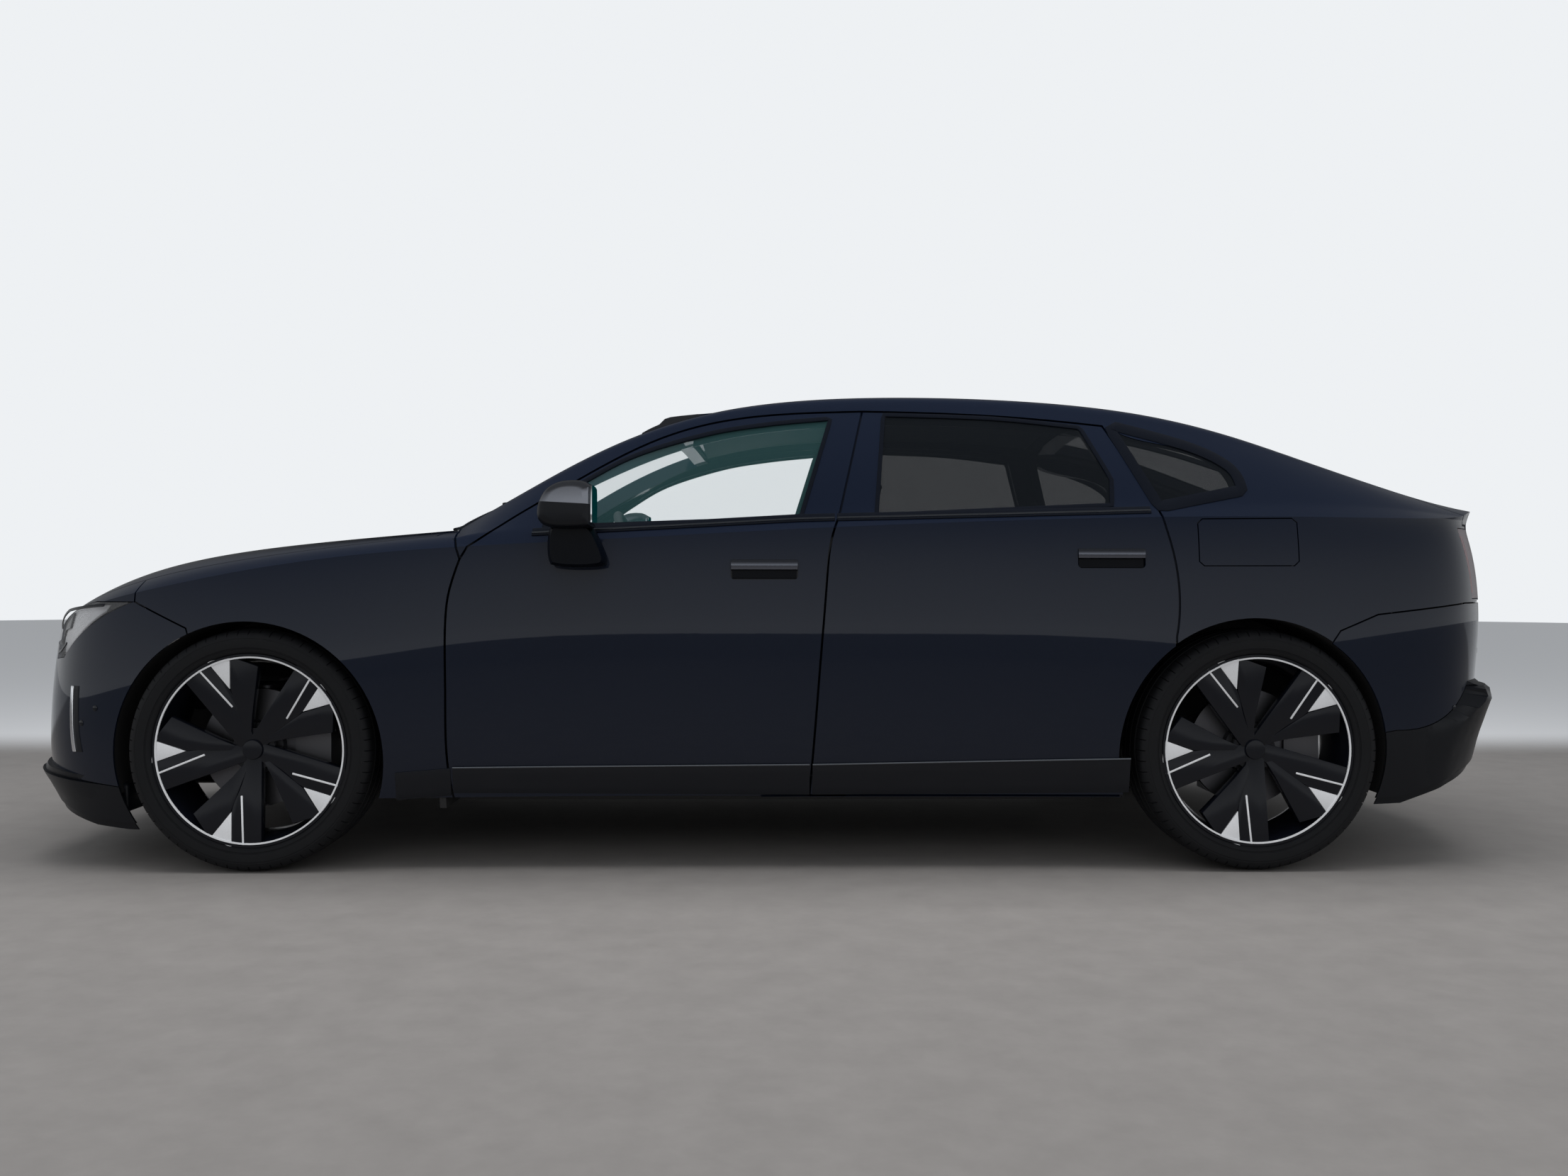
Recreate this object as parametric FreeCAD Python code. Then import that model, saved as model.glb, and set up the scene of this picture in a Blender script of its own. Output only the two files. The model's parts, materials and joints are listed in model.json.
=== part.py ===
import FreeCAD, Part
import math
import os

from FreeCAD import Matrix, Placement, Rotation, Vector

# Five-door electric saloon. Millimetres, +X to the rear, +Y to the car's right, +Z up.
# The origin is on the ground under the middle of the car.

# Driving dimensions. Shares of the length are of length_base, and the car reaches from nose_x to tail_x
length_base = 5000.0
body_width = 1942.0
overall_height = 1546.0
wheelbase = 3102.0
front_overhang = 850.0
track_width = 1652.0
tyre_diameter = 748.0
tyre_width = 265.0
rim_diameter = 593.0
ground_clearance = 182.0
nose_x = -2475.0
tail_x = 2428.0

# Shell
panel_gap = 7.0
skin = 6.0
hidden_clearance = 7.0
fit_clearance = 0.4
glass_fit = 0.7
door_depth = 118.0
door_frame_depth = 46.0
door_edge_return = 34.0
side_ring_depth = 140.0
side_ring_upper_depth = 62.0
roof_depth = 30.0
glass_thickness = 5.0
tailgate_depth = 42.0
hood_depth = 26.0
bumper_depth = 9.0
arch_radius = 418.0
arch_rise = 4.0
front_arch_ahead = 10.0
front_arch_drop = 22.0
rear_arch_ahead = 14.0
rear_arch_drop = 12.0
liner_thickness = 4.0

frame_edge_return = 12.0
hinge_edge_return = 95.0
hinge_setback = 75.0
hinge_pocket_depth = 88.0
hinge_inset = 33.5
hinge_pillar_depth = 30.0
hinge_eye = 7.0
hinge_swing_room = 20.0
hinge_height = 25.0
hinge_pin_radius = 4.5
pin_clearance = 0.3
box_clearance = 8.0
glass_setback = 1.5
glass_gap = 3.0
wheelhouse_radius = 500.0
seal_flange = 22.0
gate_flange = 40.0
lamp_depth = 45.0
lap_depth = 15.0
lap_height = 20.0
cowl_depth = 14.0
cowl_overlap = 1.0

# Wheels and chassis
hub_radius = 38.0
stub_radius = 28.0
stub_setback = 3.5
carrier_radius = 62.0
carrier_post = 26.0
carrier_reach = 150.0
carrier_gap = 5.0
kingpin_radius = 10.0
kingpin_inset = 34.0
arm_outer = 190.0
arm_eye = 20.0
caliper_x = (112.0, 222.0)
caliper_half = 74.0
caliper_out = 30.0
subframe_half = 70.0
subframe_z = (212.0, 290.0)
tower_y = (400.0, 480.0)
front_wall_y = 494.0
rear_wall_y = 566.0
liner_bottom_z = 236.0
rear_arm_z = (402.0, 440.0)
tyre_facets = 60
spoke_groups = 5
spoke_turn = 4.0

# Cabin
column_radius = 22.0
steering_radius = 182.0
grip_radius = 15.0
steering_y = 372.0
mirror_round = 36.0
wheel_spoke_turns = (0, 120, 240)
flap_gap = 3.5
flap_rim = 14.0
flap_pocket_depth = 14.0
handle_pocket_depth = 24.0
handle_thickness = 9.0
handle_proud = 3.0
handle_round = 12.0
sensor_round = 10.0

# Placing overruns
reach = 3000.0
full_turn = 360.0

origin_shift = -(nose_x + tail_x) / 2
half_length = length_base / 2
half_width = body_width / 2
front_axle_x = front_overhang - half_length
rear_axle_x = front_axle_x + wheelbase
axle_z = tyre_diameter / 2
wheel_y = track_width / 2
front_arch_x = front_axle_x - front_arch_ahead
front_arch_z = axle_z - front_arch_drop
rear_arch_x = rear_axle_x - rear_arch_ahead
rear_arch_z = axle_z - rear_arch_drop
belt_z = 0.686 * overall_height
door_box_z = 0.272 * overall_height
front_door_edge_x = -0.2100 * length_base
rear_door_edge_x = 0.0130 * length_base
hinge_y = hinge_inset - half_width
hinge_heights = (0.36 * overall_height, 0.52 * overall_height)
rim_radius = rim_diameter / 2
stub_end_y = -0.53 * tyre_width / 2
disc_room_radius = 0.64 * rim_radius
disc_room_y = -0.15 * tyre_width / 2
carrier_y = 0.11 * tyre_width / 2
kingpin_y = kingpin_inset
rail_z = 0.2270 * overall_height
rear_floor_z = 0.3110 * overall_height
column_start = (-0.150 * length_base, -steering_y, 0.550 * overall_height)
column_end = (-0.102 * length_base, -steering_y, 0.618 * overall_height)
front_seat_y_shares = (-0.640, -0.130)
front_headrest_y_shares = (-0.500, -0.270)
console_half_share = 0.120
mirror_foot_y_shares = (-1.080, -0.880)
leaf_reach = hinge_pocket_depth + hinge_pillar_depth
liner_radius = arch_radius + arch_rise + liner_thickness
tail_lamp_room = (0.38 * length_base, 0.52 * length_base)
headlamp_limits = (-0.52 * length_base, -0.40 * length_base)
side_limits_shares = ((-0.2120, 0.5500), (-1.1000, 0), (0.1460, 1.1000))
deck_limits_shares = ((0, 0.5500), (-1.1000, 1.1000), (0.6950, 1.1000))
tail_limits_shares = ((0.4000, 0.5500), (-0.7000, 0), (0.5420, 1.1000))
quarter_room_shares = ((0.2430, 0.5500), (-1.1000, 0), (0.0000, 0.6740))
flap_strip_shares = ((0.2545, 0.2575), (-1.0, 0), (0.6240, 0.6920))

# Side surface: height rows as shares of the height, insets at them as shares of the half width
row_height_shares = [0.052, 0.130, 0.207, 0.291, 0.388, 0.479, 0.556, 0.615, 0.660, 0.702, 0.731, 0.783, 1.050]
nose_inset_shares = [0.062, 0.026, 0.005, 0.004, 0.014, 0.032, 0.066, 0.113, 0.165, 0.216, 0.258, 0.309, 0.309]
corner_inset_shares = [0.062, 0.026, 0.003, 0.004, 0.016, 0.036, 0.068, 0.108, 0.155, 0.201, 0.237, 0.288, 0.288]
fender_inset_shares = [0.072, 0.041, 0.015, 0.003, 0.000, 0.006, 0.021, 0.041, 0.064, 0.093, 0.118, 0.155, 0.155]
door_inset_shares = [0.098, 0.064, 0.029, 0.010, 0.002, 0.000, 0.004, 0.010, 0.019, 0.033, 0.046, 0.077, 0.077]
quarter_inset_shares = [0.082, 0.046, 0.019, 0.004, 0.000, 0.002, 0.007, 0.013, 0.023, 0.037, 0.052, 0.082, 0.082]
turn_inset_shares = [0.072, 0.036, 0.020, 0.018, 0.012, 0.000, 0.003, 0.014, 0.029, 0.048, 0.025, 0.022, 0.022]
tail_inset_shares = [0.072, 0.036, 0.022, 0.020, 0.014, 0.000, 0.003, 0.014, 0.029, 0.052, 0.018, 0.012, 0.012]
side_profile_shares = [nose_inset_shares, corner_inset_shares, fender_inset_shares, door_inset_shares,
                       quarter_inset_shares, turn_inset_shares, tail_inset_shares]

# Plan outline at its widest: x and y as shares, then which side profile holds there
plan_shares = [
    (-0.4960, 0.000, 0.0), (-0.4960, 0.165, 0.0), (-0.4936, 0.412, 0.0), (-0.4860, 0.622, 0.4),
    (-0.4715, 0.782, 0.9), (-0.4500, 0.893, 1.2), (-0.4160, 0.958, 1.6), (-0.3760, 0.991, 1.9),
    (-0.3300, 1.001, 2.0), (-0.2700, 0.996, 2.3), (-0.2100, 0.989, 2.8), (-0.1300, 0.986, 3.0),
    (-0.0400, 0.986, 3.0), (0.0600, 0.987, 3.0), (0.1600, 0.990, 3.0), (0.2300, 0.996, 3.5),
    (0.2904, 1.001, 4.0), (0.3500, 0.992, 4.2), (0.3960, 0.966, 4.5), (0.4250, 0.912, 4.8),
    (0.4436, 0.812, 5.2), (0.4580, 0.674, 5.7), (0.4720, 0.490, 6.0), (0.4830, 0.278, 6.0),
    (0.4860, 0.124, 6.0), (0.4860, 0.000, 6.0)]

# Greenhouse stations: waistline crease, window base, roof corner, then x and z on the centreline
greenhouse_shares = [
    ((-0.202, 0.976, 0.6384), (-0.208, 0.924, 0.6650), (-0.222, 0.793, 0.6600), (-0.250, 0.6680)),
    ((-0.190, 0.976, 0.6410), (-0.193, 0.925, 0.6750), (-0.202, 0.764, 0.7030), (-0.224, 0.7180)),
    ((-0.170, 0.977, 0.6442), (-0.171, 0.925, 0.6805), (-0.172, 0.733, 0.7620), (-0.192, 0.7730)),
    ((-0.140, 0.978, 0.6488), (-0.140, 0.925, 0.6856), (-0.138, 0.704, 0.8290), (-0.156, 0.8350)),
    ((-0.100, 0.980, 0.6546), (-0.100, 0.924, 0.6908), (-0.096, 0.680, 0.8960), (-0.112, 0.9020)),
    ((-0.050, 0.982, 0.6617), (-0.050, 0.924, 0.6973), (-0.044, 0.659, 0.9480), (-0.058, 0.9610)),
    ((0.012, 0.984, 0.6708), (0.012, 0.923, 0.7050), (0.016, 0.645, 0.9715), (0.008, 0.9910)),
    ((0.084, 0.986, 0.6792), (0.084, 0.922, 0.7147), (0.086, 0.636, 0.9764), (0.084, 1.0003)),
    ((0.160, 0.989, 0.6856), (0.160, 0.921, 0.7232), (0.160, 0.635, 0.9690), (0.160, 0.9935)),
    ((0.230, 0.993, 0.6902), (0.230, 0.920, 0.7296), (0.230, 0.644, 0.9465), (0.234, 0.9710)),
    ((0.290, 0.995, 0.6921), (0.290, 0.915, 0.7335), (0.288, 0.661, 0.9010), (0.296, 0.9280)),
    ((0.344, 0.987, 0.6940), (0.344, 0.898, 0.7335), (0.340, 0.684, 0.8383), (0.352, 0.8655)),
    ((0.390, 0.968, 0.6960), (0.390, 0.870, 0.7270), (0.388, 0.711, 0.7810), (0.404, 0.8140)),
    ((0.426, 0.932, 0.6973), (0.426, 0.839, 0.7140), (0.426, 0.726, 0.7400), (0.450, 0.7620)),
    ((0.452, 0.896, 0.6979), (0.454, 0.814, 0.7060), (0.456, 0.721, 0.7220), (0.488, 0.7350)),
    ((0.474, 0.875, 0.6986), (0.478, 0.803, 0.7020), (0.480, 0.711, 0.7150), (0.516, 0.7280))]
ledge_share = 1.2
shoulder_round_share = 0.55
base_round_share = 0.08
glass_middle_shares = (0.36, 0.70)
glass_bulge_share = 0.016
corner_round_share = 0.10
roof_corner_share = 0.12
roof_middle_shares = (0.42, 0.76)
crown_shares = (0.62, 0.93)

# Hood stations: x at the side and on the centreline, then z from the crease in to the centreline
hood_shares = [
    (-0.4840, -0.5120, 0.310, 0.345, 0.370, 0.395, 0.396),
    (-0.4740, -0.5020, 0.370, 0.396, 0.433, 0.456, 0.459),
    (-0.4580, -0.4880, 0.436, 0.464, 0.498, 0.515, 0.518),
    (-0.4320, -0.4620, 0.491, 0.521, 0.553, 0.569, 0.572),
    (-0.3980, -0.4260, 0.540, 0.570, 0.601, 0.616, 0.619),
    (-0.3500, -0.3760, 0.586, 0.611, 0.634, 0.648, 0.652),
    (-0.2900, -0.3120, 0.614, 0.644, 0.657, 0.671, 0.675),
    (-0.2300, -0.2460, 0.633, 0.666, 0.676, 0.689, 0.693),
    (-0.1760, -0.1860, 0.643, 0.681, 0.691, 0.704, 0.709)]
hood_row_y_shares = (1.040, 0.978, 0.925, 0.780, 0.400)
hood_drop_share = 0.030


def spline_surface(poles):
    """Cubic surface with its edges on the outer rows of poles."""
    def clamped(count):
        spans = count - 3
        return [4] + [1] * (spans - 1) + [4], list(range(spans + 1))

    u_mults, u_knots = clamped(len(poles))
    v_mults, v_knots = clamped(len(poles[0]))
    surface = Part.BSplineSurface()
    surface.buildFromPolesMultsKnots(poles, u_mults, v_mults, u_knots, v_knots, False, False, 3, 3)
    return surface


def moved_in(poles, depth):
    """The same poles moved square to the surface, towards the inside of the car."""
    moved = []
    last_row, last = len(poles) - 1, len(poles[0]) - 1
    for i, row in enumerate(poles):
        line = []
        for j, pole in enumerate(row):
            along = poles[min(i + 1, last_row)][j] - poles[max(i - 1, 0)][j]
            across = row[min(j + 1, last)] - row[max(j - 1, 0)]
            inward = across.cross(along)
            line.append(pole + inward.normalize() * depth)
        moved.append(line)
    return moved


def side_poles(depth, profiles=side_profile_shares, heights=row_height_shares):
    """Poles of the side surface from the nose round the left side to the tail, depth inside."""
    plan = [Vector(x * length_base, -y * half_width, 0) for x, y, zone in plan_shares]
    poles = []
    for i, (x, y, zone) in enumerate(plan_shares):
        along = plan[min(i + 1, len(plan) - 1)] - plan[max(i - 1, 0)]
        inward = Vector(-along.y, along.x, 0).normalize()
        low = min(int(zone), len(profiles) - 2)
        part = zone - low
        row = []
        for height, first, second in zip(heights, profiles[low], profiles[low + 1]):
            inset = ((1 - part) * first + part * second) * half_width + depth
            row.append(plan[i] + inward * inset + Vector(0, 0, height * overall_height))
        poles.append(row)
    return poles


def side_solid(depth, profiles=side_profile_shares, heights=row_height_shares):
    """Left half of the body inside the side surface, flat on the middle plane, top and bottom."""
    poles = side_poles(depth, profiles, heights)
    for row in (poles[0], poles[-1]):
        for pole in row:
            pole.y = 0
    surface = spline_surface(poles)
    u_first, u_last, v_first, v_last = surface.bounds()
    front, rear = surface.uIso(u_first).toShape(), surface.uIso(u_last).toShape()
    bottom, top = surface.vIso(v_first).toShape(), surface.vIso(v_last).toShape()
    low_line = Part.makeLine(poles[0][0], poles[-1][0])
    top_line = Part.makeLine(poles[0][-1], poles[-1][-1])
    faces = [surface.toShape(), Part.Face(Part.Wire([bottom, low_line])),
             Part.Face(Part.Wire([top, top_line])),
             Part.Face(Part.Wire(Part.__sortEdges__([front, top_line, rear, low_line])))]
    shell = Part.makeShell(faces)
    shell.sewShape()
    solid = Part.Solid(shell)
    if solid.Volume < 0:
        solid.reverse()
    return solid


def mirrored_rows(left_rows):
    """A half section from the left edge to the centreline, completed to the right edge."""
    right = [Vector(p.x, -p.y, p.z) for p in reversed(left_rows[:-1])]
    return left_rows + right


def between(start, end, share):
    return start + (end - start) * share


def greenhouse_poles(depth):
    """Poles of the surface over the windows and the roof, from the left crease to the right one."""
    sections = []
    for crease, base, corner, middle in greenhouse_shares:
        a, b, c = [Vector(x * length_base, -y * half_width, z * overall_height)
                   for x, y, z in (crease, base, corner)]
        d = Vector(middle[0] * length_base, 0, middle[1] * overall_height)
        edge = a + (a - b) * ledge_share
        lean = (c - b)
        out = Vector(0, -lean.z, lean.y).normalize() * (lean.Length * glass_bulge_share)
        low, high = [between(b, c, share) + out for share in glass_middle_shares]
        rows = [edge, a, between(a, b, shoulder_round_share), b, between(b, c, base_round_share), low, high,
                between(c, b, corner_round_share), c,
                between(c, d, roof_corner_share)]
        for share, crown in zip(roof_middle_shares, crown_shares):
            p = between(c, d, share)
            p.z = c.z + (d.z - c.z) * crown
            rows.append(p)
        sections.append(mirrored_rows(rows + [d]))
    return moved_in(sections, depth) if depth else sections


def hood_poles(depth):
    """Poles of the surface over the hood and the tops of the fenders."""
    sections = []
    for x_side, x_middle, *heights in hood_shares:
        heights = [heights[0] - hood_drop_share] + heights
        rows = []
        for y, z in zip(hood_row_y_shares + (0,), heights):
            x = x_middle + (x_side - x_middle) * min(y / hood_row_y_shares[2], 1) ** 2
            rows.append(Vector(x * length_base, -y * half_width, z * overall_height))
        sections.append(mirrored_rows(rows))
    return moved_in(sections, depth) if depth else sections


def below(poles):
    """Everything under a surface."""
    return spline_surface(poles).toShape().extrude(Vector(0, 0, -overall_height))


def placed(stretches, scale_first, scale_second):
    """Stretches of outline shares, as real sizes."""
    return [[(a * scale_first, b * scale_second) for a, b in stretch] for stretch in stretches]


def grown(stretches, growth):
    """The outline moved outwards by a distance, or inwards if it is negative."""
    points = [Vector(a, b, 0) for stretch in stretches for a, b in stretch]
    area = sum(p.cross(q).z for p, q in zip(points, points[1:] + points[:1]))
    moved = []
    for i, point in enumerate(points):
        before = (point - points[i - 1]).normalize()
        after = (points[(i + 1) % len(points)] - point).normalize()
        normals = [Vector(v.y, -v.x, 0) * math.copysign(1, area) for v in (before, after)]
        middle = normals[0] + normals[1]
        corner = point + middle * (growth / middle.dot(normals[0]))
        moved.append((corner.x, corner.y))
    return [[moved.pop(0) for point in stretch] for stretch in stretches]


def outline_face(stretches, to_space, growth=0):
    """Face inside an outline of straight and curved stretches, each ending where the next one starts."""
    stretches = grown(stretches, growth) if growth else stretches
    edges = []
    for stretch, following in zip(stretches, stretches[1:] + stretches[:1]):
        points = [Vector(a, b, 0) for a, b in stretch + following[:1]]
        if len(points) == 2:
            edges.append(Part.makeLine(*points))
        else:
            curve = Part.BSplineCurve()
            curve.interpolate(points)
            edges.append(curve.toShape())
    face = Part.Face(Part.Wire(edges))
    face.transformShape(to_space)
    return face


def seen_from_side(stretches, growth=0):
    """Prism across the left half of the car over an outline in x and z."""
    shares = placed(stretches, length_base, overall_height)
    to_space = Matrix(1, 0, 0, 0, 0, 0, -1, -reach, 0, 1, 0, 0, 0, 0, 0, 1)
    return outline_face(shares, to_space, growth).extrude(Vector(0, reach, 0))


def seen_from_above(stretches, growth=0):
    """Upright prism over an outline in x and y."""
    shares = placed(stretches, length_base, half_width)
    return outline_face(shares, Matrix(), growth).extrude(Vector(0, 0, reach))


def seen_from_end(stretches, x_from, x_to, growth=0):
    """Prism along the car over an outline in y and z, between two places."""
    shares = placed(stretches, half_width, overall_height)
    to_space = Matrix(0, 0, 1, x_from, 1, 0, 0, 0, 0, 1, 0, 0, 0, 0, 0, 1)
    return outline_face(shares, to_space, growth).extrude(Vector(x_to - x_from, 0, 0))


def block(x, y, z):
    """Box from three pairs of limits."""
    return Part.makeBox(x[1] - x[0], y[1] - y[0], z[1] - z[0], Vector(x[0], y[0], z[0]))


def arch(x, z, radius, y_from=-reach, y_to=0):
    """Cylinder across the car."""
    return Part.makeCylinder(radius, y_to - y_from, Vector(x, y_from, z), Vector(0, 1, 0))


def mirrored(shape):
    """The same shape on the right side."""
    return shape.mirror(Vector(0, 0, 0), Vector(0, 1, 0))


def both(shape):
    """One piece on each side."""
    return Part.makeCompound([shape, mirrored(shape)])


def whole(half):
    """One piece from a half that ends on the middle plane."""
    return half.fuse(mirrored(half))


def largest(shape):
    """The main solid of a shape, without slivers cut off its edges."""
    return max(shape.Solids, key=lambda solid: solid.Volume)


def save(name, *shapes):
    """Writes one or more solids of one piece of the car."""
    solids = [solid for shape in shapes for solid in shape.Solids]
    shape = solids[0] if len(solids) == 1 else Part.makeCompound(solids)
    shape.translated(Vector(origin_shift, 0, 0)).exportStep("parts/" + name + ".step")
    print(name, len(solids), [round(solid.Volume / 1000) for solid in solids], shape.isValid())


# Outlines in x and z as shares of the length and the height
front_door_shares = [
    [(0.0130, 0.1490)],
    [(-0.2068, 0.1436), (-0.2094, 0.2057), (-0.2100, 0.3620), (-0.2100, 0.5000), (-0.2085, 0.5500),
     (-0.2055, 0.5880)], [(-0.2020, 0.6220)],
    [(-0.1975, 0.6470), (-0.1868, 0.6727), (-0.1718, 0.7096), (-0.1524, 0.7510), (-0.1184, 0.8195),
     (-0.0768, 0.8855), (-0.0514, 0.9101), (-0.0052, 0.9314)],
    [(0.0488, 0.9386)],
    [(0.0314, 0.7096), (0.0272, 0.6734), (0.0234, 0.5820), (0.0196, 0.4250), (0.0148, 0.2210)]]
rear_door_shares = [
    [(0.0130, 0.1490), (0.0148, 0.2210), (0.0196, 0.4250), (0.0234, 0.5820), (0.0272, 0.6734)],
    [(0.0314, 0.7096)],
    [(0.0488, 0.9386), (0.0878, 0.9360), (0.1342, 0.9295), (0.1804, 0.9170)],
    [(0.2056, 0.9080)],
    [(0.2300, 0.7303), (0.2330, 0.6900), (0.2360, 0.6520), (0.2396, 0.5830)],
    [(0.2384, 0.4700)], [(0.2384, 0.1490)]]
front_window_shares = [[(0.0072, 0.7063)], [(-0.1520, 0.6869)],
                       [(-0.1490, 0.7406), (-0.1294, 0.7846), (-0.0978, 0.8409), (-0.0512, 0.8875),
                        (-0.0120, 0.9088)],
                       [(0.0278, 0.9217)]]
rear_window_shares = [[(0.2020, 0.7342)], [(0.0548, 0.7122)], [(0.0626, 0.9308), (0.1340, 0.9230)],
                      [(0.1904, 0.9036)], [(0.2046, 0.7885)]]
quarter_window_shares = [[(0.2330, 0.7390)], [(0.2130, 0.9000), (0.2592, 0.8545), (0.2810, 0.8131)],
                         [(0.2848, 0.7723)]]

fender_shares = [[(-0.3320, 0.1417)], front_door_shares[1], [(-0.2020, 0.6220)], [(-0.2160, 0.7500)],
                 [(-0.4032, 0.7500)], [(-0.4032, 0.5356)], [(-0.3684, 0.4838)], [(-0.3640, 0.4400)],
                 [(-0.3320, 0.2277)]]
front_bumper_shares = [[(-0.3320, 0.2277)], [(-0.3640, 0.4400)], [(-0.3684, 0.4838)], [(-0.4032, 0.5356)],
                       [(-0.4032, 0.7500)], [(-0.5500, 0.7500)], [(-0.5500, 0.1902)],
                       [(-0.4800, 0.1902), (-0.4560, 0.1820)], [(-0.4100, 0.1650)], [(-0.3320, 0.1600)]]
front_lip_shares = [[(-0.3320, 0.1600)], [(-0.4100, 0.1650), (-0.4560, 0.1820)], [(-0.4800, 0.1902)],
                    [(-0.5500, 0.1902)], [(-0.5500, 0.1455)], [(-0.4880, 0.1455)], [(-0.4620, 0.1210)],
                    [(-0.4320, 0.0965)], [(-0.4100, 0.0905)], [(-0.3320, 0.0905)]]
rear_bumper_shares = [[(0.2876, 0.2342)], [(0.3402, 0.4812)], [(0.3642, 0.5136)], [(0.4264, 0.5356)],
                      [(0.5500, 0.5400)], [(0.5500, 0.3674)], [(0.4306, 0.3674), (0.4116, 0.3072)],
                      [(0.3776, 0.2820)]]
rear_valance_shares = [[(0.2876, 0.2342)], [(0.3776, 0.2820), (0.4116, 0.3072)], [(0.4306, 0.3674)],
                       [(0.5500, 0.3674)], [(0.5500, 0.3270)], [(0.3830, 0.1442)], [(0.2876, 0.1358)]]
front_handle_shares = ((-0.0358, 0.0056), (0.5821, 0.6020, 0.6223))
rear_handle_shares = ((0.1780, 0.2196), (0.6061, 0.6260, 0.6455))
flap_shares = [[(0.2560, 0.6119)], [(0.2532, 0.6200)], [(0.2532, 0.6960)], [(0.2560, 0.7040)],
               [(0.3116, 0.7055)], [(0.3144, 0.6975)], [(0.3144, 0.6210)], [(0.3116, 0.6125)]]

# Outlines in x and y, left half, as shares of the length and the half width
hood_outline_shares = [[(-0.2500, 0.020)],
                       [(-0.4850, 0.020), (-0.4840, -0.200), (-0.4800, -0.400), (-0.4710, -0.560)],
                       [(-0.4560, -0.700), (-0.4360, -0.790), (-0.4000, -0.850), (-0.3600, -0.875),
                        (-0.3000, -0.885)],
                       [(-0.2200, -0.875)], [(-0.2130, -0.760), (-0.2330, -0.500), (-0.2450, -0.250)]]
windscreen_shares = [[(-0.0735, 0.020)], [(-0.2420, 0.020), (-0.2370, -0.250), (-0.2250, -0.500)],
                     [(-0.2040, -0.727), (-0.1720, -0.698), (-0.1380, -0.669), (-0.0960, -0.645)],
                     [(-0.0660, -0.628)]]
roof_shares = [[(0.2120, 0.020)], [(-0.0735, 0.020)], [(-0.0660, -0.628), (0.0700, -0.604), (0.1500, -0.600)],
               [(0.2120, -0.600)]]
tailgate_shares = [[(0.5200, 0.020)], [(0.2135, 0.020)],
                   [(0.2135, -0.600), (0.2600, -0.610), (0.3000, -0.625), (0.3400, -0.645), (0.3800, -0.680),
                    (0.4100, -0.735), (0.4300, -0.800)], [(0.4500, -0.830)], [(0.5200, -0.830)]]
rear_glass_shares = [[(0.4100, 0.020)], [(0.2240, 0.020)],
                     [(0.2240, -0.540), (0.2800, -0.560), (0.3400, -0.590)],
                     [(0.3960, -0.600), (0.4060, -0.300)]]
cowl_shares = [[(-0.2122, 0.020)], [(-0.2560, 0.020)], [(-0.2560, -0.760)], [(-0.2122, -0.760)]]
# Outlines in y and z, left half, as shares of the half width and the height
headlamp_shares = [[(-0.618, 0.4528)], [(-0.618, 0.4820)], [(-0.772, 0.5207)], [(-0.855, 0.5356)],
                   [(-0.932, 0.5356)], [(-0.824, 0.4217)], [(-0.762, 0.4172)], [(-0.757, 0.4463)]]
tail_lamp_shares = [[(-0.715, 0.545)], [(-0.715, 0.690)], [(-0.845, 0.690)], [(-0.845, 0.545)]]

# Wheel outlines in radius and y, as shares of the radius and of half the tyre width
tyre_shares = [(0.7939, 0.800), (0.7939, -0.800), (0.8450, -0.980), (0.8950, -1.000), (0.9500, -0.930),
               (0.9840, -0.830), (1.0000, -0.350), (1.0000, 0.350), (0.9840, 0.830), (0.9500, 0.930),
               (0.8950, 1.000), (0.8450, 0.980)]
dish_shares = [[(0.000, -0.650)], [(0.210, -0.660)], [(0.500, -0.760)], [(0.840, -0.868)], [(0.975, -0.885)],
               [(0.975, -0.620)], [(0.500, -0.520)], [(0.210, -0.400)], [(0.000, -0.400)]]
barrel_shares = [[(1.000, -0.900)], [(1.000, 0.900)], [(0.965, 0.900)], [(0.930, 0.750)], [(0.900, 0.450)],
                 [(0.900, -0.300)], [(0.930, -0.550)], [(0.965, -0.900)]]
hub_shares = [[(0.000, -0.640)], [(0.210, -0.640)], [(0.270, -0.400)], [(0.270, -0.303)], [(0.000, -0.303)]]
disc_shares = [[(0.000, -0.300)], [(0.270, -0.300)], [(0.270, -0.105)], [(0.614, -0.105)], [(0.614, 0.060)],
               [(0.000, 0.060)]]
# Spokes in one group, outward along the radius and square to it, as shares of the rim radius
blade_shares = [[(0.000, -0.091), (1.002, -0.192), (1.008, 0.115), (0.644, 0.155), (0.300, 0.100),
                 (0.000, 0.067)],
                [(0.640, 0.150), (1.008, 0.110), (0.931, 0.344)],
                [(0.050, 0.000), (0.307, 0.192), (0.691, 0.533), (0.931, 0.344), (0.644, 0.150),
                 (0.300, 0.080)]]

# Boxes of the underbody, left half: limits in x, y and z as shares
floor_shares = ((-0.2140, 0.2300), (-1.000, 0.020), (0.2135, 0.2264))
firewall_shares = ((-0.2160, -0.21206), (-1.000, 0.020), (0.1230, 0.6200))
rail_shares = [
    ((-0.4500, -0.2140), (-0.402, -0.309), (0.2270, 0.2910)),
    ((-0.4600, -0.4480), (-0.660, 0.020), (0.2270, 0.3040)),
    ((-0.4300, -0.2140), (-0.400, 0.020), (0.1260, 0.1300)),
    ((0.2290, 0.4460), (-0.577, 0.020), (0.3110, 0.3200)),
    ((0.2280, 0.2310), (-0.577, 0.020), (0.2135, 0.3200)),
    ((0.4360, 0.4460), (-0.660, 0.020), (0.3180, 0.4300)),
    ((0.2290, 0.2740), (-0.450, 0.020), (0.1410, 0.1450)),
    ((0.2290, 0.2310), (-0.450, 0.020), (0.1410, 0.2264))]
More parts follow.
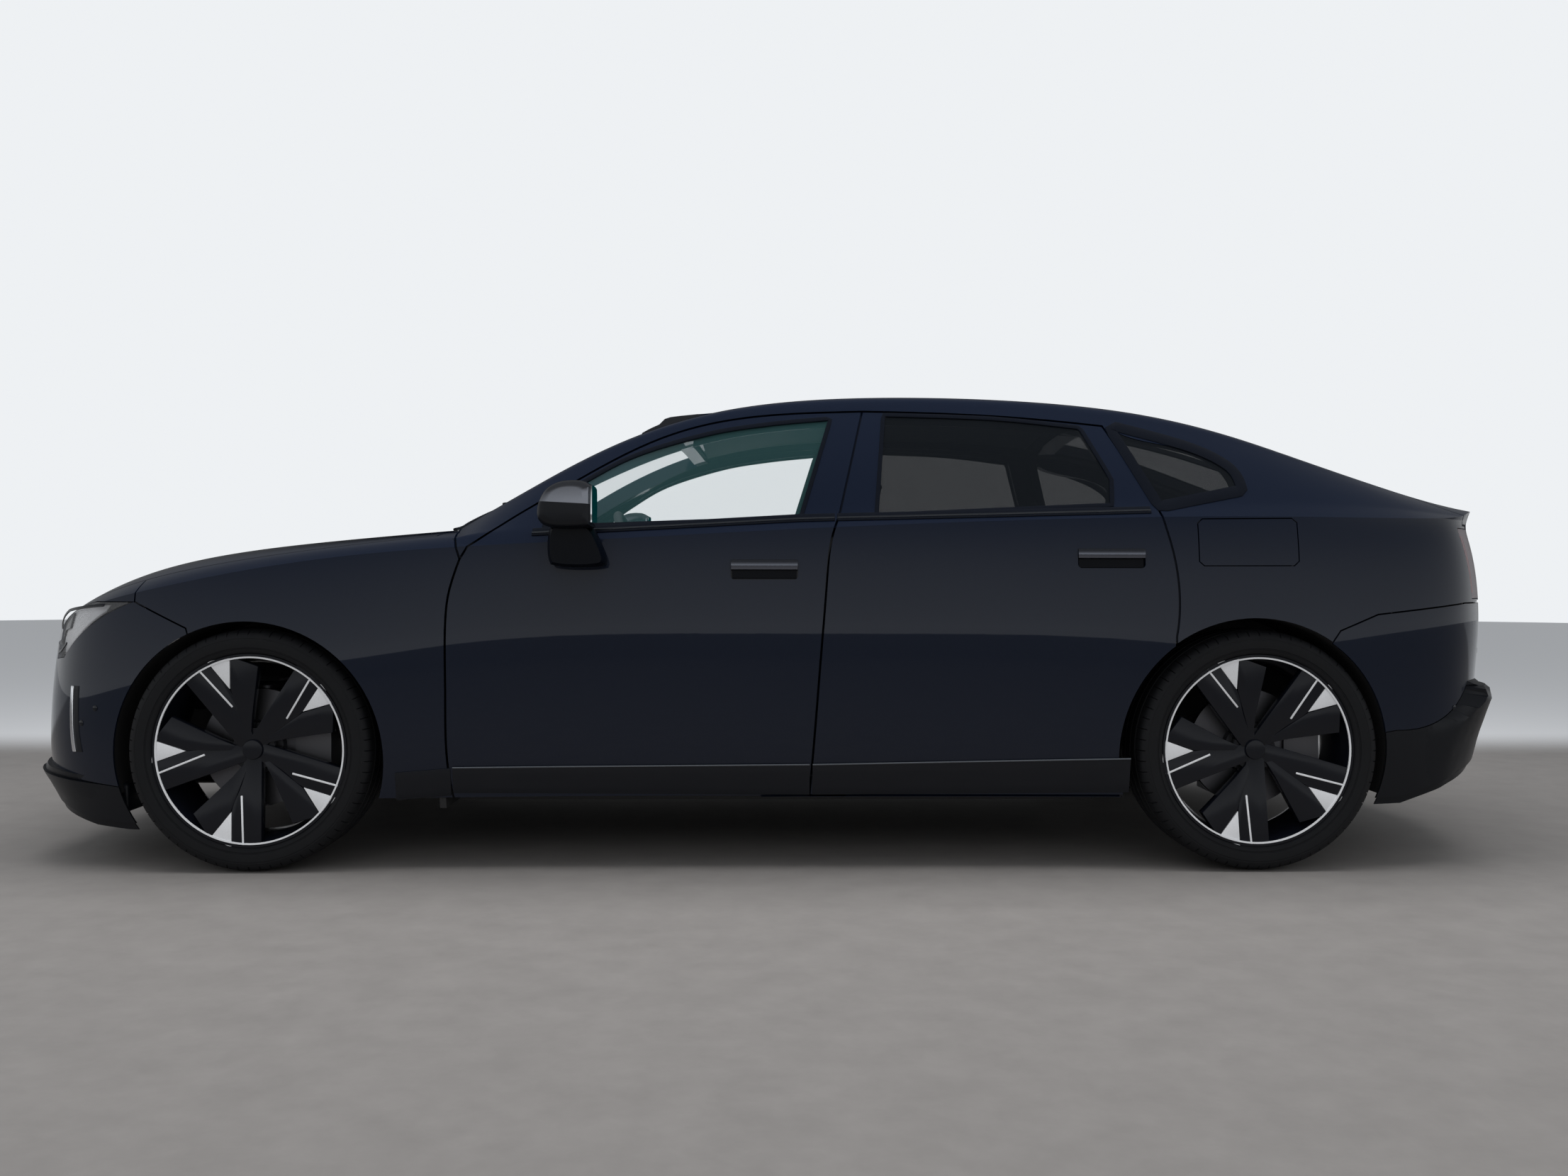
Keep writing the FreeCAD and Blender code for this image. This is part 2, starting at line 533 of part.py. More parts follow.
bumper_core_shares = [((-0.4970, -0.4590), (-0.430, 0.020), (0.2460, 0.2910)),
                      ((0.4450, 0.4870), (-0.430, 0.020), (0.3860, 0.4280))]
upper_rail_shares = [((-0.3600, -0.2140), (-1.000, -0.824), (0.5170, 0.5560))]
lamp_post_shares = [((-0.4600, -0.4480), (-0.700, -0.620), (0.2800, 0.5200)),
                    ((0.4220, 0.4440), (-0.760, -0.660), (0.3640, 0.5900)),
                    ((0.4360, 0.4460), (-0.760, -0.640), (0.3640, 0.3880))]
front_stop_shares = ((-0.4560, -0.4500), (-0.580, -0.540), (0.2900, 0.7000))
rear_stop_shares = ((0.4370, 0.4430), (-0.560, -0.520), (0.3800, 0.8000))
bay_cover_shares = ((-0.4000, -0.2140), (-0.830, 0.020), (0.5170, 0.5250))
luggage_tub_shares = ((-0.4060, -0.2600), (-0.499, 0.020), (0.3760, 0.5200))
luggage_well_shares = ((-0.4036, -0.2624), (-0.487, 0.030), (0.3840, 0.6000))
battery_shares = ((-0.2119, 0.2000), (-0.700, 0.020), (0.1180, 0.2133))
cowl_tray_shares = [((-0.2500, -0.2124), (-0.620, 0.000), (0.6202, 0.6280)),
                    ((-0.2440, -0.2420), (-0.120, 0.000), (0.6202, 0.7500))]

# Cabin pieces as outlines in x and z
dashboard_shares = [[(-0.2119, 0.2700)], [(-0.2119, 0.6100)],
                    [(-0.1950, 0.6350), (-0.1650, 0.6420), (-0.1400, 0.6300)],
                    [(-0.1280, 0.5900)], [(-0.1320, 0.5100)], [(-0.1600, 0.4400)], [(-0.1700, 0.2700)]]
console_shares = [[(-0.1720, 0.2268)], [(-0.1720, 0.4400)], [(-0.1450, 0.4700)], [(-0.0900, 0.3900)],
                  [(0.0350, 0.4050)], [(0.0400, 0.2268)]]
front_seat_shares = [[(-0.0600, 0.2268)],
                     [(-0.0700, 0.2900), (-0.0840, 0.3400), (-0.0780, 0.3850), (-0.0300, 0.3700)],
                     [(0.0080, 0.3600), (0.0180, 0.4400), (0.0400, 0.6000), (0.0560, 0.7350)],
                     [(0.0740, 0.7600), (0.0800, 0.7200), (0.0620, 0.5500), (0.0500, 0.3800)],
                     [(0.0400, 0.2268)]]
front_headrest_shares = [[(0.0620, 0.7350)],
                         [(0.0600, 0.7800), (0.0640, 0.8500), (0.0740, 0.8600), (0.0800, 0.8200)],
                         [(0.0760, 0.7350)]]
rear_seat_shares = [[(0.1180, 0.2268)], [(0.1100, 0.2900), (0.1060, 0.3600)], [(0.1200, 0.3850)],
                    [(0.1950, 0.3700), (0.2040, 0.4500), (0.2200, 0.6000)], [(0.2300, 0.7000)],
                    [(0.2420, 0.7050)], [(0.2430, 0.6500)], [(0.2270, 0.3400)], [(0.2270, 0.2268)]]
rear_headrest_shares = [[(0.2320, 0.6900)], [(0.2330, 0.7500), (0.2370, 0.7900), (0.2450, 0.7900)],
                        [(0.2440, 0.6900)]]
mirror_foot_shares = [[(-0.1444, 0.6880)], [(-0.1380, 0.6200)], [(-0.1280, 0.6120)], [(-0.1180, 0.6200)],
                      [(-0.1114, 0.6880)]]
sensor_shares = [[(-0.1075, 0.9000)], [(-0.1040, 0.9650)], [(-0.0980, 0.9770)], [(-0.0640, 0.9850)],
                 [(-0.0480, 0.9760)], [(-0.0480, 0.9000)]]
sensor_half_share = 0.145
sensor_foot_shares = ((-0.0700, -0.0480), (-0.1450, 0.1450), (0.9000, 1.0000))
mirror_head_shares = ((-0.1512, -0.1178), (-1.130, -0.960), (0.6800, 0.7750))
rear_seat_piece_shares = [(rear_seat_shares, (-0.680, 0.680)), (rear_headrest_shares, (-0.520, -0.280)),
                   (rear_headrest_shares, (0.280, 0.520))]


def inside(side_depth, top_depth):
    """Left half of the body, its sides and its top moved in."""
    top = below(greenhouse_poles(top_depth)).fuse(below(hood_poles(top_depth)))
    return side_solid(side_depth).common(top)


def rounded_prism(x, z, radius):
    """Prism across the left half over a rectangle with round corners, its limits given as shares."""
    prism = block([a * length_base for a in x], (-reach, 0), [a * overall_height for a in z])
    corners = [edge for edge in prism.Edges if edge.BoundBox.YLength > radius]
    return prism.makeFillet(radius, corners)


def room(x, y, z):
    """Box from limits given as shares of the length, the half width and the height."""
    return block([a * length_base for a in x], [a * half_width for a in y], [a * overall_height for a in z])


def rod(start, end, radius):
    """Round bar between two points."""
    start, end = Vector(*start), Vector(*end)
    return Part.makeCylinder(radius, (end - start).Length, start, end - start)


def turned(stretches, scale):
    """Solid of revolution about the wheel's axis from an outline in radius and y."""
    face = outline_face(placed(stretches, scale, tyre_width / 2), Matrix())
    return face.revolve(Vector(), Vector(0, 1, 0), full_turn)


def turned_flat(outline, scale, facets):
    """The same in flat facets, with one row of corners straight down."""
    points = [Vector(0, y * tyre_width / 2, -radius * scale) for radius, y in outline]
    rings = [[Rotation(Vector(0, 1, 0), full_turn / facets * i).multVec(point) for point in points]
             for i in range(facets)]
    faces = []
    for i, ring in enumerate(rings):
        for j in range(len(ring)):
            corners = [ring[j], ring[j - 1], rings[i - 1][j - 1], rings[i - 1][j]]
            faces.append(Part.Face(Part.makePolygon(corners + corners[:1])))
    shell = Part.makeShell(faces)
    shell.sewShape()
    solid = Part.Solid(shell)
    if solid.Volume < 0:
        solid.reverse()
    return solid


def across(stretches, y_from, y_to):
    """Prism across the car over an outline in x and z, between two shares of the half width."""
    shares = placed(stretches, length_base, overall_height)
    to_space = Matrix(1, 0, 0, 0, 0, 0, -1, y_from * half_width, 0, 1, 0, 0, 0, 0, 0, 1)
    return outline_face(shares, to_space).extrude(Vector(0, (y_to - y_from) * half_width, 0))


def grown_box(box, growth):
    limits = box.BoundBox
    return block((limits.XMin - growth, limits.XMax + growth), (limits.YMin - growth, limits.YMax + growth),
                 (limits.ZMin - growth, limits.ZMax + growth))


def fused(*shapes):
    return shapes[0].multiFuse(list(shapes[1:])).removeSplitter()


def at(shape, x, y, z):
    return shape.translated(Vector(x, y, z))


def seat_in(shape, outline, gap, depth_solid, flange):
    """Cuts the seat of a panel seen from above, with a flange left under its edge."""
    return shape.cut(seen_from_above(outline, gap).cut(depth_solid)).cut(seen_from_above(outline, -flange))


class Door:
    """One side door: its outline, where its hinge edge and its axis are, and its window."""

    def __init__(self, outline, window, edge_x, axis_x, handle):
        self.outline, self.window, self.handle = outline, window, handle
        self.edge_x, self.axis_x = edge_x, axis_x

    def inner_box(self, growth):
        """Room the door takes behind its skin, grown by a clearance."""
        lower = seen_from_side(self.outline, growth - panel_gap / 2 - door_edge_return)
        upper = seen_from_side(self.outline, growth - panel_gap / 2 - frame_edge_return)
        hinge_side = block((self.edge_x + hinge_edge_return - growth, reach), (-reach, 0), (0, belt_z))
        door_height = block((-reach, reach), (-reach, 0), (door_box_z - growth, belt_z))
        lower = lower.common(hinge_side).common(door_height)
        upper = upper.common(block((-reach, reach), (-reach, 0), (belt_z, reach)))
        box = lower.fuse(upper)
        return box.cut(arch(rear_arch_x, rear_arch_z, wheelhouse_radius - growth))

    def panel(self):
        whole_door = seen_from_side(self.outline, -panel_gap / 2).common(outer).cut(door_inside)
        edges = skin_inside.cut(self.inner_box(0))
        door = whole_door.cut(edges).cut(arch(rear_arch_x, rear_arch_z, arch_radius))
        x, (low, middle, high) = self.handle
        pocket = rounded_prism(x, (low, high), handle_round).cut(handle_bed)
        lid = rounded_prism(x, (middle, high), handle_round).common(handle_outside).cut(handle_inside)
        return fused(door.cut(seen_from_side(self.window)).cut(pocket), lid)

    def glass(self):
        return seen_from_side(self.window, -glass_fit).common(glass_outside).cut(glass_inside)

    def recess(self, body):
        """Cuts the door's place out of the body side."""
        opening = seen_from_side(self.outline, panel_gap / 2)
        body = body.cut(opening.cut(recess_inside))
        swing_room = block((self.edge_x - reach, self.edge_x + hinge_edge_return + hinge_swing_room),
                           (-reach, 0), (0, belt_z))
        body = body.cut(opening.common(swing_room).cut(pocket_inside))
        return body.cut(self.inner_box(box_clearance))

    def hinge_parts(self):
        """Two hinges: knuckles on the door, and leaves with pins on the pillar."""
        knuckles, leaves = [], []
        for z in hinge_heights:
            knuckle = block((self.axis_x - hinge_eye, self.edge_x + hinge_edge_return + skin),
                            (hinge_y - hinge_eye, hinge_y + hinge_eye), (z, z + hinge_height))
            knuckles.append(knuckle.cut(rod((self.axis_x, hinge_y, 0), (self.axis_x, hinge_y, reach),
                                            hinge_pin_radius + pin_clearance)))
            low, high = z - hinge_height - pin_clearance, z - pin_clearance
            leaf = block((self.axis_x - hinge_eye, self.axis_x + hinge_eye), (hinge_y, hinge_y + leaf_reach),
                         (low, high))
            eye = rod((self.axis_x, hinge_y, low), (self.axis_x, hinge_y, high), hinge_eye)
            pin = rod((self.axis_x, hinge_y, low), (self.axis_x, hinge_y, z + hinge_height), hinge_pin_radius)
            leaves.append(fused(leaf, eye, pin))
        return knuckles, leaves


front_door = Door(front_door_shares, front_window_shares, front_door_edge_x,
                  front_door_edge_x + hinge_setback, front_handle_shares)
rear_door = Door(rear_door_shares, rear_window_shares, rear_door_edge_x,
                 rear_door_edge_x + hinge_setback, rear_handle_shares)

if __name__ == "__main__":
    os.makedirs("parts", exist_ok=True)
    outer = inside(0, 0)
    skin_inside = inside(skin, skin)
    recess_inside = inside(skin + hidden_clearance, skin + hidden_clearance)
    door_inside = inside(door_depth, door_frame_depth)
    ring_inside = inside(side_ring_depth, side_ring_upper_depth)
    pocket_inside = inside(hinge_pocket_depth, door_frame_depth)
    glass_outside = inside(glass_setback, glass_setback)
    glass_inside = inside(glass_setback + glass_thickness, glass_setback + glass_thickness)
    wing_inside = inside(bumper_depth, bumper_depth)
    handle_bed = inside(handle_pocket_depth, handle_pocket_depth)
    handle_outside = inside(-handle_proud, -handle_proud)
    handle_inside = inside(handle_thickness - handle_proud, handle_thickness - handle_proud)

    # Doors and their glass
    leaves = []
    for place, door in (("front", front_door), ("rear", rear_door)):
        knuckles, door_leaves = door.hinge_parts()
        leaves += door_leaves
        panel = fused(door.panel(), *knuckles)
        save(place + "_left_door", panel)
        save(place + "_right_door", mirrored(panel))
        save(place + "_left_door_glass", door.glass())
        save(place + "_right_door_glass", mirrored(door.glass()))

    # Body side with its pillars, sill, roof edge and quarter: one piece a side
    side = outer.cut(ring_inside).common(room(*side_limits_shares))
    for outline in (fender_shares, rear_bumper_shares, rear_valance_shares):
        side = side.cut(seen_from_side(outline, panel_gap / 2))
    glass_bed = inside(glass_thickness + fit_clearance, glass_thickness + fit_clearance)
    side = seat_in(side, windscreen_shares, glass_gap / 2, glass_bed, seal_flange)
    roof_bed = inside(side_ring_depth, roof_depth + fit_clearance)
    side = seat_in(side, roof_shares, glass_gap / 2, roof_bed, seal_flange)
    side = side.cut(seen_from_above(hood_outline_shares, panel_gap / 2))
    tailgate_room = seen_from_above(tailgate_shares, panel_gap / 2).common(room(*deck_limits_shares))
    tail_room = room(*tail_limits_shares)
    tailgate_bed = inside(tailgate_depth + hidden_clearance, tailgate_depth + hidden_clearance)
    side = side.cut(tailgate_room.cut(tailgate_bed)).cut(grown_box(tail_room, panel_gap / 2))
    side = side.cut(seen_from_above(tailgate_shares, -gate_flange))
    side = side.cut(wing_inside.common(room(*quarter_room_shares)))
    side = side.cut(arch(rear_arch_x, rear_arch_z, arch_radius + arch_rise))
    side = side.cut(arch(rear_arch_x, rear_arch_z, liner_radius + fit_clearance).common(wing_inside))
    for door in (front_door, rear_door):
        side = door.recess(side)
    side = side.cut(seen_from_side(quarter_window_shares))
    lamp_room = seen_from_end(tail_lamp_shares, *tail_lamp_room, glass_gap / 2)
    lamp_bed = inside(lamp_depth + fit_clearance, lamp_depth + fit_clearance)
    side = side.cut(lamp_room.cut(lamp_bed))
    flap_cut = seen_from_side(flap_shares, flap_gap)
    pocket_back = inside(flap_pocket_depth + skin, flap_pocket_depth + skin)
    pocket = seen_from_side(flap_shares, flap_rim).common(wing_inside.cut(pocket_back))
    side = side.fuse(pocket).cut(flap_cut.cut(inside(flap_pocket_depth, flap_pocket_depth)))
    hinge_strip = room(*flap_strip_shares).common(inside(skin + pin_clearance, skin + pin_clearance))
    side = side.fuse(hinge_strip.cut(inside(flap_pocket_depth + skin / 2, flap_pocket_depth + skin / 2)))
    side = largest(side)
    save("body_sides", both(fused(side, *leaves)))
    save("quarter_glass", both(seen_from_side(quarter_window_shares, -glass_fit).common(glass_outside)
                               .cut(glass_inside)))
    save("tail_lamps", both(seen_from_end(tail_lamp_shares, *tail_lamp_room, -glass_gap / 2).common(outer)
                            .cut(inside(lamp_depth, lamp_depth))))
    save("charge_flap", seen_from_side(flap_shares, 0).common(outer).cut(skin_inside))

    # Fenders, bumpers and the dark parts under them
    hood_room = seen_from_above(hood_outline_shares, panel_gap / 2)
    headlamp_room = seen_from_end(headlamp_shares, *headlamp_limits, glass_gap / 2)
    wing = outer.cut(wing_inside)
    fender = wing.common(seen_from_side(fender_shares, -panel_gap / 2)).cut(hood_room)
    fender = fender.cut(arch(front_arch_x, front_arch_z, arch_radius)).cut(headlamp_room)
    fender = fender.cut(seen_from_above(windscreen_shares, panel_gap))
    fender = fender.cut(seen_from_above(cowl_shares, panel_gap / 2))
    save("fenders", both(largest(fender)))
    nose = wing.common(seen_from_side(front_bumper_shares, -glass_gap / 2)).cut(hood_room)
    nose = nose.cut(arch(front_arch_x, front_arch_z, arch_radius)).cut(headlamp_room)
    save("front_bumper", whole(largest(nose)))
    save("headlamps", both(seen_from_end(headlamp_shares, *headlamp_limits, -glass_gap / 2).common(outer)
                           .cut(inside(lamp_depth, lamp_depth)).cut(hood_room)))
    lap_outside, lap_inside = inside(bumper_depth + fit_clearance, bumper_depth), inside(lap_depth, lap_depth)
    lip = outer.cut(lap_inside).common(seen_from_side(front_lip_shares, -glass_gap / 2))
    lap = lap_outside.cut(lap_inside).common(seen_from_side(front_lip_shares, lap_height))
    lip = fused(lip, lap).cut(arch(front_arch_x, front_arch_z, arch_radius))
    lip = lip.cut(arch(front_arch_x, front_arch_z, liner_radius + fit_clearance).common(wing_inside))
    save("front_lip", whole(largest(lip)))
    tail = wing.common(seen_from_side(rear_bumper_shares, -glass_gap / 2))
    tail = tail.cut(arch(rear_arch_x, rear_arch_z, arch_radius))
    tail = tail.cut(grown_box(tail_room, glass_gap / 2)).cut(lamp_room)
    save("rear_bumper", whole(largest(tail)))
    valance = outer.cut(lap_inside).common(seen_from_side(rear_valance_shares, -glass_gap / 2))
    lap = lap_outside.cut(lap_inside).common(seen_from_side(rear_valance_shares, lap_height))
    valance = fused(valance, lap).cut(arch(rear_arch_x, rear_arch_z, arch_radius))
    valance = valance.cut(arch(rear_arch_x, rear_arch_z, liner_radius + fit_clearance).common(wing_inside))
    save("rear_valance", whole(largest(valance)))

    # Top panels: hood, windscreen, roof and tailgate with its glass
    hood_top, roof_top = below(hood_poles(0)), below(greenhouse_poles(0))
    sides = whole(side_solid(0))
    hood = hood_top.cut(below(hood_poles(hood_depth))).common(sides)
    hood = hood.common(whole(seen_from_above(hood_outline_shares, -panel_gap / 2)))
    save("hood", hood)
    save("windscreen", roof_top.cut(below(greenhouse_poles(glass_thickness)))
         .common(whole(seen_from_above(windscreen_shares, -glass_gap / 2))))
    roof = roof_top.cut(below(greenhouse_poles(roof_depth)))
    roof = roof.common(whole(seen_from_above(roof_shares, -glass_gap / 2)))
    sensor = across(sensor_shares, -sensor_half_share, sensor_half_share)
    sensor = sensor.makeFillet(sensor_round, sensor.Edges)
    foot = sensor.common(room(*sensor_foot_shares)).cut(below(greenhouse_poles(skin)))
    save("roof_panel", fused(roof, sensor.cut(below(greenhouse_poles(-glass_gap))), foot))
    deck = roof_top.cut(below(greenhouse_poles(tailgate_depth)))
    deck = deck.common(whole(seen_from_above(tailgate_shares, -panel_gap / 2))).common(sides)
    deck = deck.common(grown_box(room(*deck_limits_shares), -panel_gap))
    panel = outer.cut(inside(tailgate_depth, tailgate_depth)).common(tail_room)
    tailgate = fused(deck, panel, mirrored(panel))
    tailgate = tailgate.cut(whole(seen_from_above(rear_glass_shares, 0)))
    save("tailgate", largest(tailgate))
    rear_glass = below(greenhouse_poles(glass_setback))
    rear_glass = rear_glass.cut(below(greenhouse_poles(glass_setback + glass_thickness)))
    save("rear_glass", rear_glass.common(whole(seen_from_above(rear_glass_shares, -fit_clearance))))
    cowl = whole(seen_from_above(cowl_shares, 0)).cut(whole(hood_room))
    cowl = cowl.cut(whole(seen_from_above(windscreen_shares, glass_gap / 2)))
    cowl_half = outer.cut(inside(cowl_depth, cowl_depth))
    cowl = whole(cowl_half).common(cowl)
    save("cowl_panel", largest(cowl))

    # Wheels, modelled about the origin with the outer side at -Y
    tyre = turned_flat(tyre_shares, tyre_diameter / 2, tyre_facets)
    dish = turned(dish_shares, rim_radius)
    spoke_group = []
    for outline in blade_shares:
        corners = [Vector(-t * rim_radius, -tyre_width, -r * rim_radius) for r, t in outline + outline[:1]]
        spoke_group.append(Part.Face(Part.makePolygon(corners)).extrude(Vector(0, 2 * tyre_width, 0)))
    blades = fused(*[blade.rotated(Vector(), Vector(0, 1, 0), spoke_turn + full_turn / spoke_groups * i)
                     for blade in spoke_group for i in range(spoke_groups)])
    spokes = blades.fuse(arch(0, 0, hub_radius, -tyre_width, tyre_width)).common(dish)
    bore = arch(0, 0, stub_radius + fit_clearance, stub_end_y, tyre_width)
    rim = fused(spokes, turned(barrel_shares, rim_radius), turned(hub_shares, rim_radius)).cut(bore)
    disc = turned(disc_shares, rim_radius).cut(bore)
    for place, x in (("front", front_axle_x), ("rear", rear_axle_x)):
        for hand, y in (("left", -wheel_y), ("right", wheel_y)):
            for name, shape in (("tyre", tyre), ("rim", Part.makeCompound([rim, disc]))):
                shape = shape if hand == "left" else mirrored(shape)
                save(place + "_" + hand + "_" + name, at(shape, x, y, axle_z))

    # Hub carriers: the front pair steers, the rear pair is part of the rear subframe
    post_y = (carrier_y, kingpin_y + kingpin_y - carrier_y)
    caliper = block(caliper_x, (-caliper_out, post_y[1]), (-caliper_half, caliper_half))
    caliper = caliper.cut(arch(0, 0, disc_room_radius, disc_room_y, carrier_y))
    stub = arch(0, 0, stub_radius, stub_end_y + stub_setback, carrier_y + skin)
    carrier = fused(arch(0, 0, carrier_radius, *post_y), stub,
                    block((-carrier_post, carrier_post), post_y, (-carrier_reach, carrier_reach)),
                    block((0, caliper_x[1]), (carrier_y, post_y[1]), (-carrier_post, carrier_post)), caliper)
    kingpin = rod((0, kingpin_y, -arm_outer), (0, kingpin_y, arm_outer), kingpin_radius)
    knuckle = at(fused(carrier, kingpin), front_axle_x, -wheel_y, axle_z)
    save("left_knuckle", knuckle)
    save("right_knuckle", mirrored(knuckle))
    arms = []
    for low, high in ((-arm_outer, -carrier_reach - pin_clearance), (carrier_reach + pin_clearance, arm_outer)):
        arm = block((front_axle_x - arm_eye, front_axle_x + arm_eye), (kingpin_y - wheel_y, -tower_y[0]),
                    (axle_z + low, axle_z + high))
        arm = arm.fuse(rod((front_axle_x, kingpin_y - wheel_y, axle_z + low),
                           (front_axle_x, kingpin_y - wheel_y, axle_z + high), arm_eye))
        pin_hole = rod((front_axle_x, kingpin_y - wheel_y, 0),
                       (front_axle_x, kingpin_y - wheel_y, overall_height), kingpin_radius + pin_clearance)
        arms.append(arm.cut(pin_hole))
    beam_x = (front_axle_x - subframe_half, front_axle_x + subframe_half)
    towers = [block(beam_x, (-tower_y[1], -tower_y[0]), (subframe_z[0], axle_z + arm_outer))]
    beam = block(beam_x, (-tower_y[1], tower_y[1]), (subframe_z[0], rail_z - pin_clearance))
    save("front_subframe", fused(beam, *arms, *towers, *[mirrored(part) for part in arms + towers]))
    rear_carrier = at(carrier, rear_axle_x, -wheel_y, axle_z)
    rear_arms = [block((rear_axle_x - arm_eye, rear_axle_x + arm_eye),
                       (kingpin_y - wheel_y - kingpin_radius, -tower_y[0]), z)
                 for z in ((axle_z - arm_outer, axle_z - carrier_reach + skin), rear_arm_z)]
    rear_beam = block((rear_axle_x - subframe_half, rear_axle_x + subframe_half), (-tower_y[1], tower_y[1]),
                      (subframe_z[0], rear_floor_z - pin_clearance))
    save("rear_subframe", fused(rear_beam, rear_carrier, mirrored(rear_carrier), *rear_arms,
                                *[mirrored(part) for part in rear_arms]))

    # Arch liners
    liners = []
    front_wall_z, rear_wall_z = axle_z + arm_outer + box_clearance, rear_arm_z[1] + box_clearance
    for x, z, wall_y, wall_z in ((front_arch_x, front_arch_z, front_wall_y, front_wall_z),
                                 (rear_arch_x, rear_arch_z, rear_wall_y, rear_wall_z)):
        liner = arch(x, z, liner_radius, -half_width, -wall_y)
        liner = liner.cut(arch(x, z, liner_radius - liner_thickness, -half_width, -wall_y - liner_thickness))
        wall = block((x - reach, x + reach), (-wall_y - liner_thickness, 0), (0, wall_z))
        above = block((x - reach, x + reach), (-half_width, 0), (liner_bottom_z, reach))
        liners.append(liner.cut(wall).common(above).common(lap_outside))
    save("arch_liners", *[both(liner) for liner in liners])

    # Underbody with its rails, beams, firewall and floors, and the battery under it
    cabin_inside = inside(side_ring_depth + pin_clearance, side_ring_upper_depth + pin_clearance)
    bay_inside = lap_outside.common(below(hood_poles(hood_depth + box_clearance)))
    lamp_inside = inside(lamp_depth + pin_clearance, lamp_depth + pin_clearance)
    gate_inside = inside(tailgate_depth + pin_clearance, tailgate_depth + pin_clearance)
    wheelhouse = arch(rear_arch_x, rear_arch_z, liner_radius + fit_clearance, -half_width,
                      fit_clearance - rear_wall_y)
    frame = [room(*floor_shares).common(cabin_inside).cut(wheelhouse)]
    frame += [room(*firewall_shares).common(bay_inside)]
    frame += [room(*shares) for shares in rail_shares]
    frame += [room(*shares).common(lap_outside) for shares in bumper_core_shares + upper_rail_shares]
    frame += [room(*shares).common(lamp_inside) for shares in lamp_post_shares]
    frame += [room(*front_stop_shares).common(below(hood_poles(hood_depth + pin_clearance)))]
    frame += [room(*rear_stop_shares).common(gate_inside)]
    well = room(*luggage_well_shares)
    frame += [room(*shares).cut(well) for shares in (luggage_tub_shares, bay_cover_shares)]
    underbody = fused(*frame)
    save("underbody", whole(underbody))
    save("battery_pack", whole(room(*battery_shares).common(cabin_inside)))

    # Cowl, dashboard, seats and steering wheel
    tray_inside = inside(cowl_depth - cowl_overlap, cowl_depth - cowl_overlap)
    tray = [room(*shares).common(tray_inside) for shares in cowl_tray_shares]
    cowl = fused(cowl, *tray, *[mirrored(part) for part in tray])
    save("cowl_panel", cowl)
    dashboard = across(dashboard_shares, -1, 0).common(cabin_inside)
    console = across(console_shares, -console_half_share, 0)
    axis = (Vector(*column_end) - Vector(*column_start)).normalize()
    column = rod(column_start, Vector(*column_end) - axis * (grip_radius + carrier_gap), column_radius)
    pin = rod(column_start, column_end, hinge_pin_radius)
    save("dashboard", fused(whole(dashboard), whole(console), column, pin))
    front_seat = fused(across(front_seat_shares, *front_seat_y_shares),
                       across(front_headrest_shares, *front_headrest_y_shares))
    save("front_seats", both(front_seat))
    wheelhouse = arch(rear_arch_x, rear_arch_z, liner_radius + skin, -half_width, skin - rear_wall_y)
    rear_seat = fused(*[across(shares, *limits) for shares, limits in rear_seat_piece_shares])
    save("rear_seat", rear_seat.cut(wheelhouse).cut(mirrored(wheelhouse)))
    steering = Part.makeTorus(steering_radius, grip_radius)
    steering = fused(steering, Part.makeCylinder(hub_radius, 2 * grip_radius, Vector(0, 0, -grip_radius)),
                     *[block((-steering_radius, 0), (-grip_radius, grip_radius), (-skin, skin))
                       .rotated(Vector(), Vector(0, 0, 1), turn) for turn in wheel_spoke_turns])
    steering = steering.cut(Part.makeCylinder(hinge_pin_radius + pin_clearance, reach, Vector(0, 0, -reach)))
    steering.Placement = Placement(Vector(*column_end), Rotation(Vector(0, 0, 1), axis))
    save("steering_wheel", steering)

    # Door mirrors
    head = room(*mirror_head_shares)
    head = head.makeFillet(mirror_round, head.Edges)
    foot = across(mirror_foot_shares, *mirror_foot_y_shares).cut(inside(-pin_clearance, -pin_clearance))
    mirror = fused(head, largest(foot))
    save("left_mirror", mirror)
    save("right_mirror", mirrored(mirror))
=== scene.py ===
import bmesh
import bpy
import json
import math
import numpy as np
from mathutils import Matrix, Vector, interpolate
from mathutils.bvhtree import BVHTree

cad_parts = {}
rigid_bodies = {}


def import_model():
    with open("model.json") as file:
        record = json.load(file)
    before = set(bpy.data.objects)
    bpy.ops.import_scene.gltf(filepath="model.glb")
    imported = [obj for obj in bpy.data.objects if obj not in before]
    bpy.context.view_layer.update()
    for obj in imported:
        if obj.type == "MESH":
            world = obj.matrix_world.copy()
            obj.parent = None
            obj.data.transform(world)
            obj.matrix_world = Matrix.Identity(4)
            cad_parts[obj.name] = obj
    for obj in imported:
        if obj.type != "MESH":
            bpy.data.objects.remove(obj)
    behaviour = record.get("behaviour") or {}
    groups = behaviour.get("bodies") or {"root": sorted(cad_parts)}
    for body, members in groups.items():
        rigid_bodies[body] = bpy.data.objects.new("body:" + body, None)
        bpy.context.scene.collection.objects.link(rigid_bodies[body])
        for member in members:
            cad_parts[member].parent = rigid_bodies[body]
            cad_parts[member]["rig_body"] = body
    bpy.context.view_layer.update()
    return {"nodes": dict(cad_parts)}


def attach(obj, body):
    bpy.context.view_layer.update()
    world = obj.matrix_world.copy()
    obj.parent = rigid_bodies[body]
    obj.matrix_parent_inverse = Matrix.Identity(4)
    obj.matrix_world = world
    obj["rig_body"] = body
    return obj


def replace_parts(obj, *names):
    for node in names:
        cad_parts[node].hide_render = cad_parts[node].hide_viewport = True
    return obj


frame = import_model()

nodes = frame["nodes"]
print("stage: frame loaded,", len(nodes), "nodes")

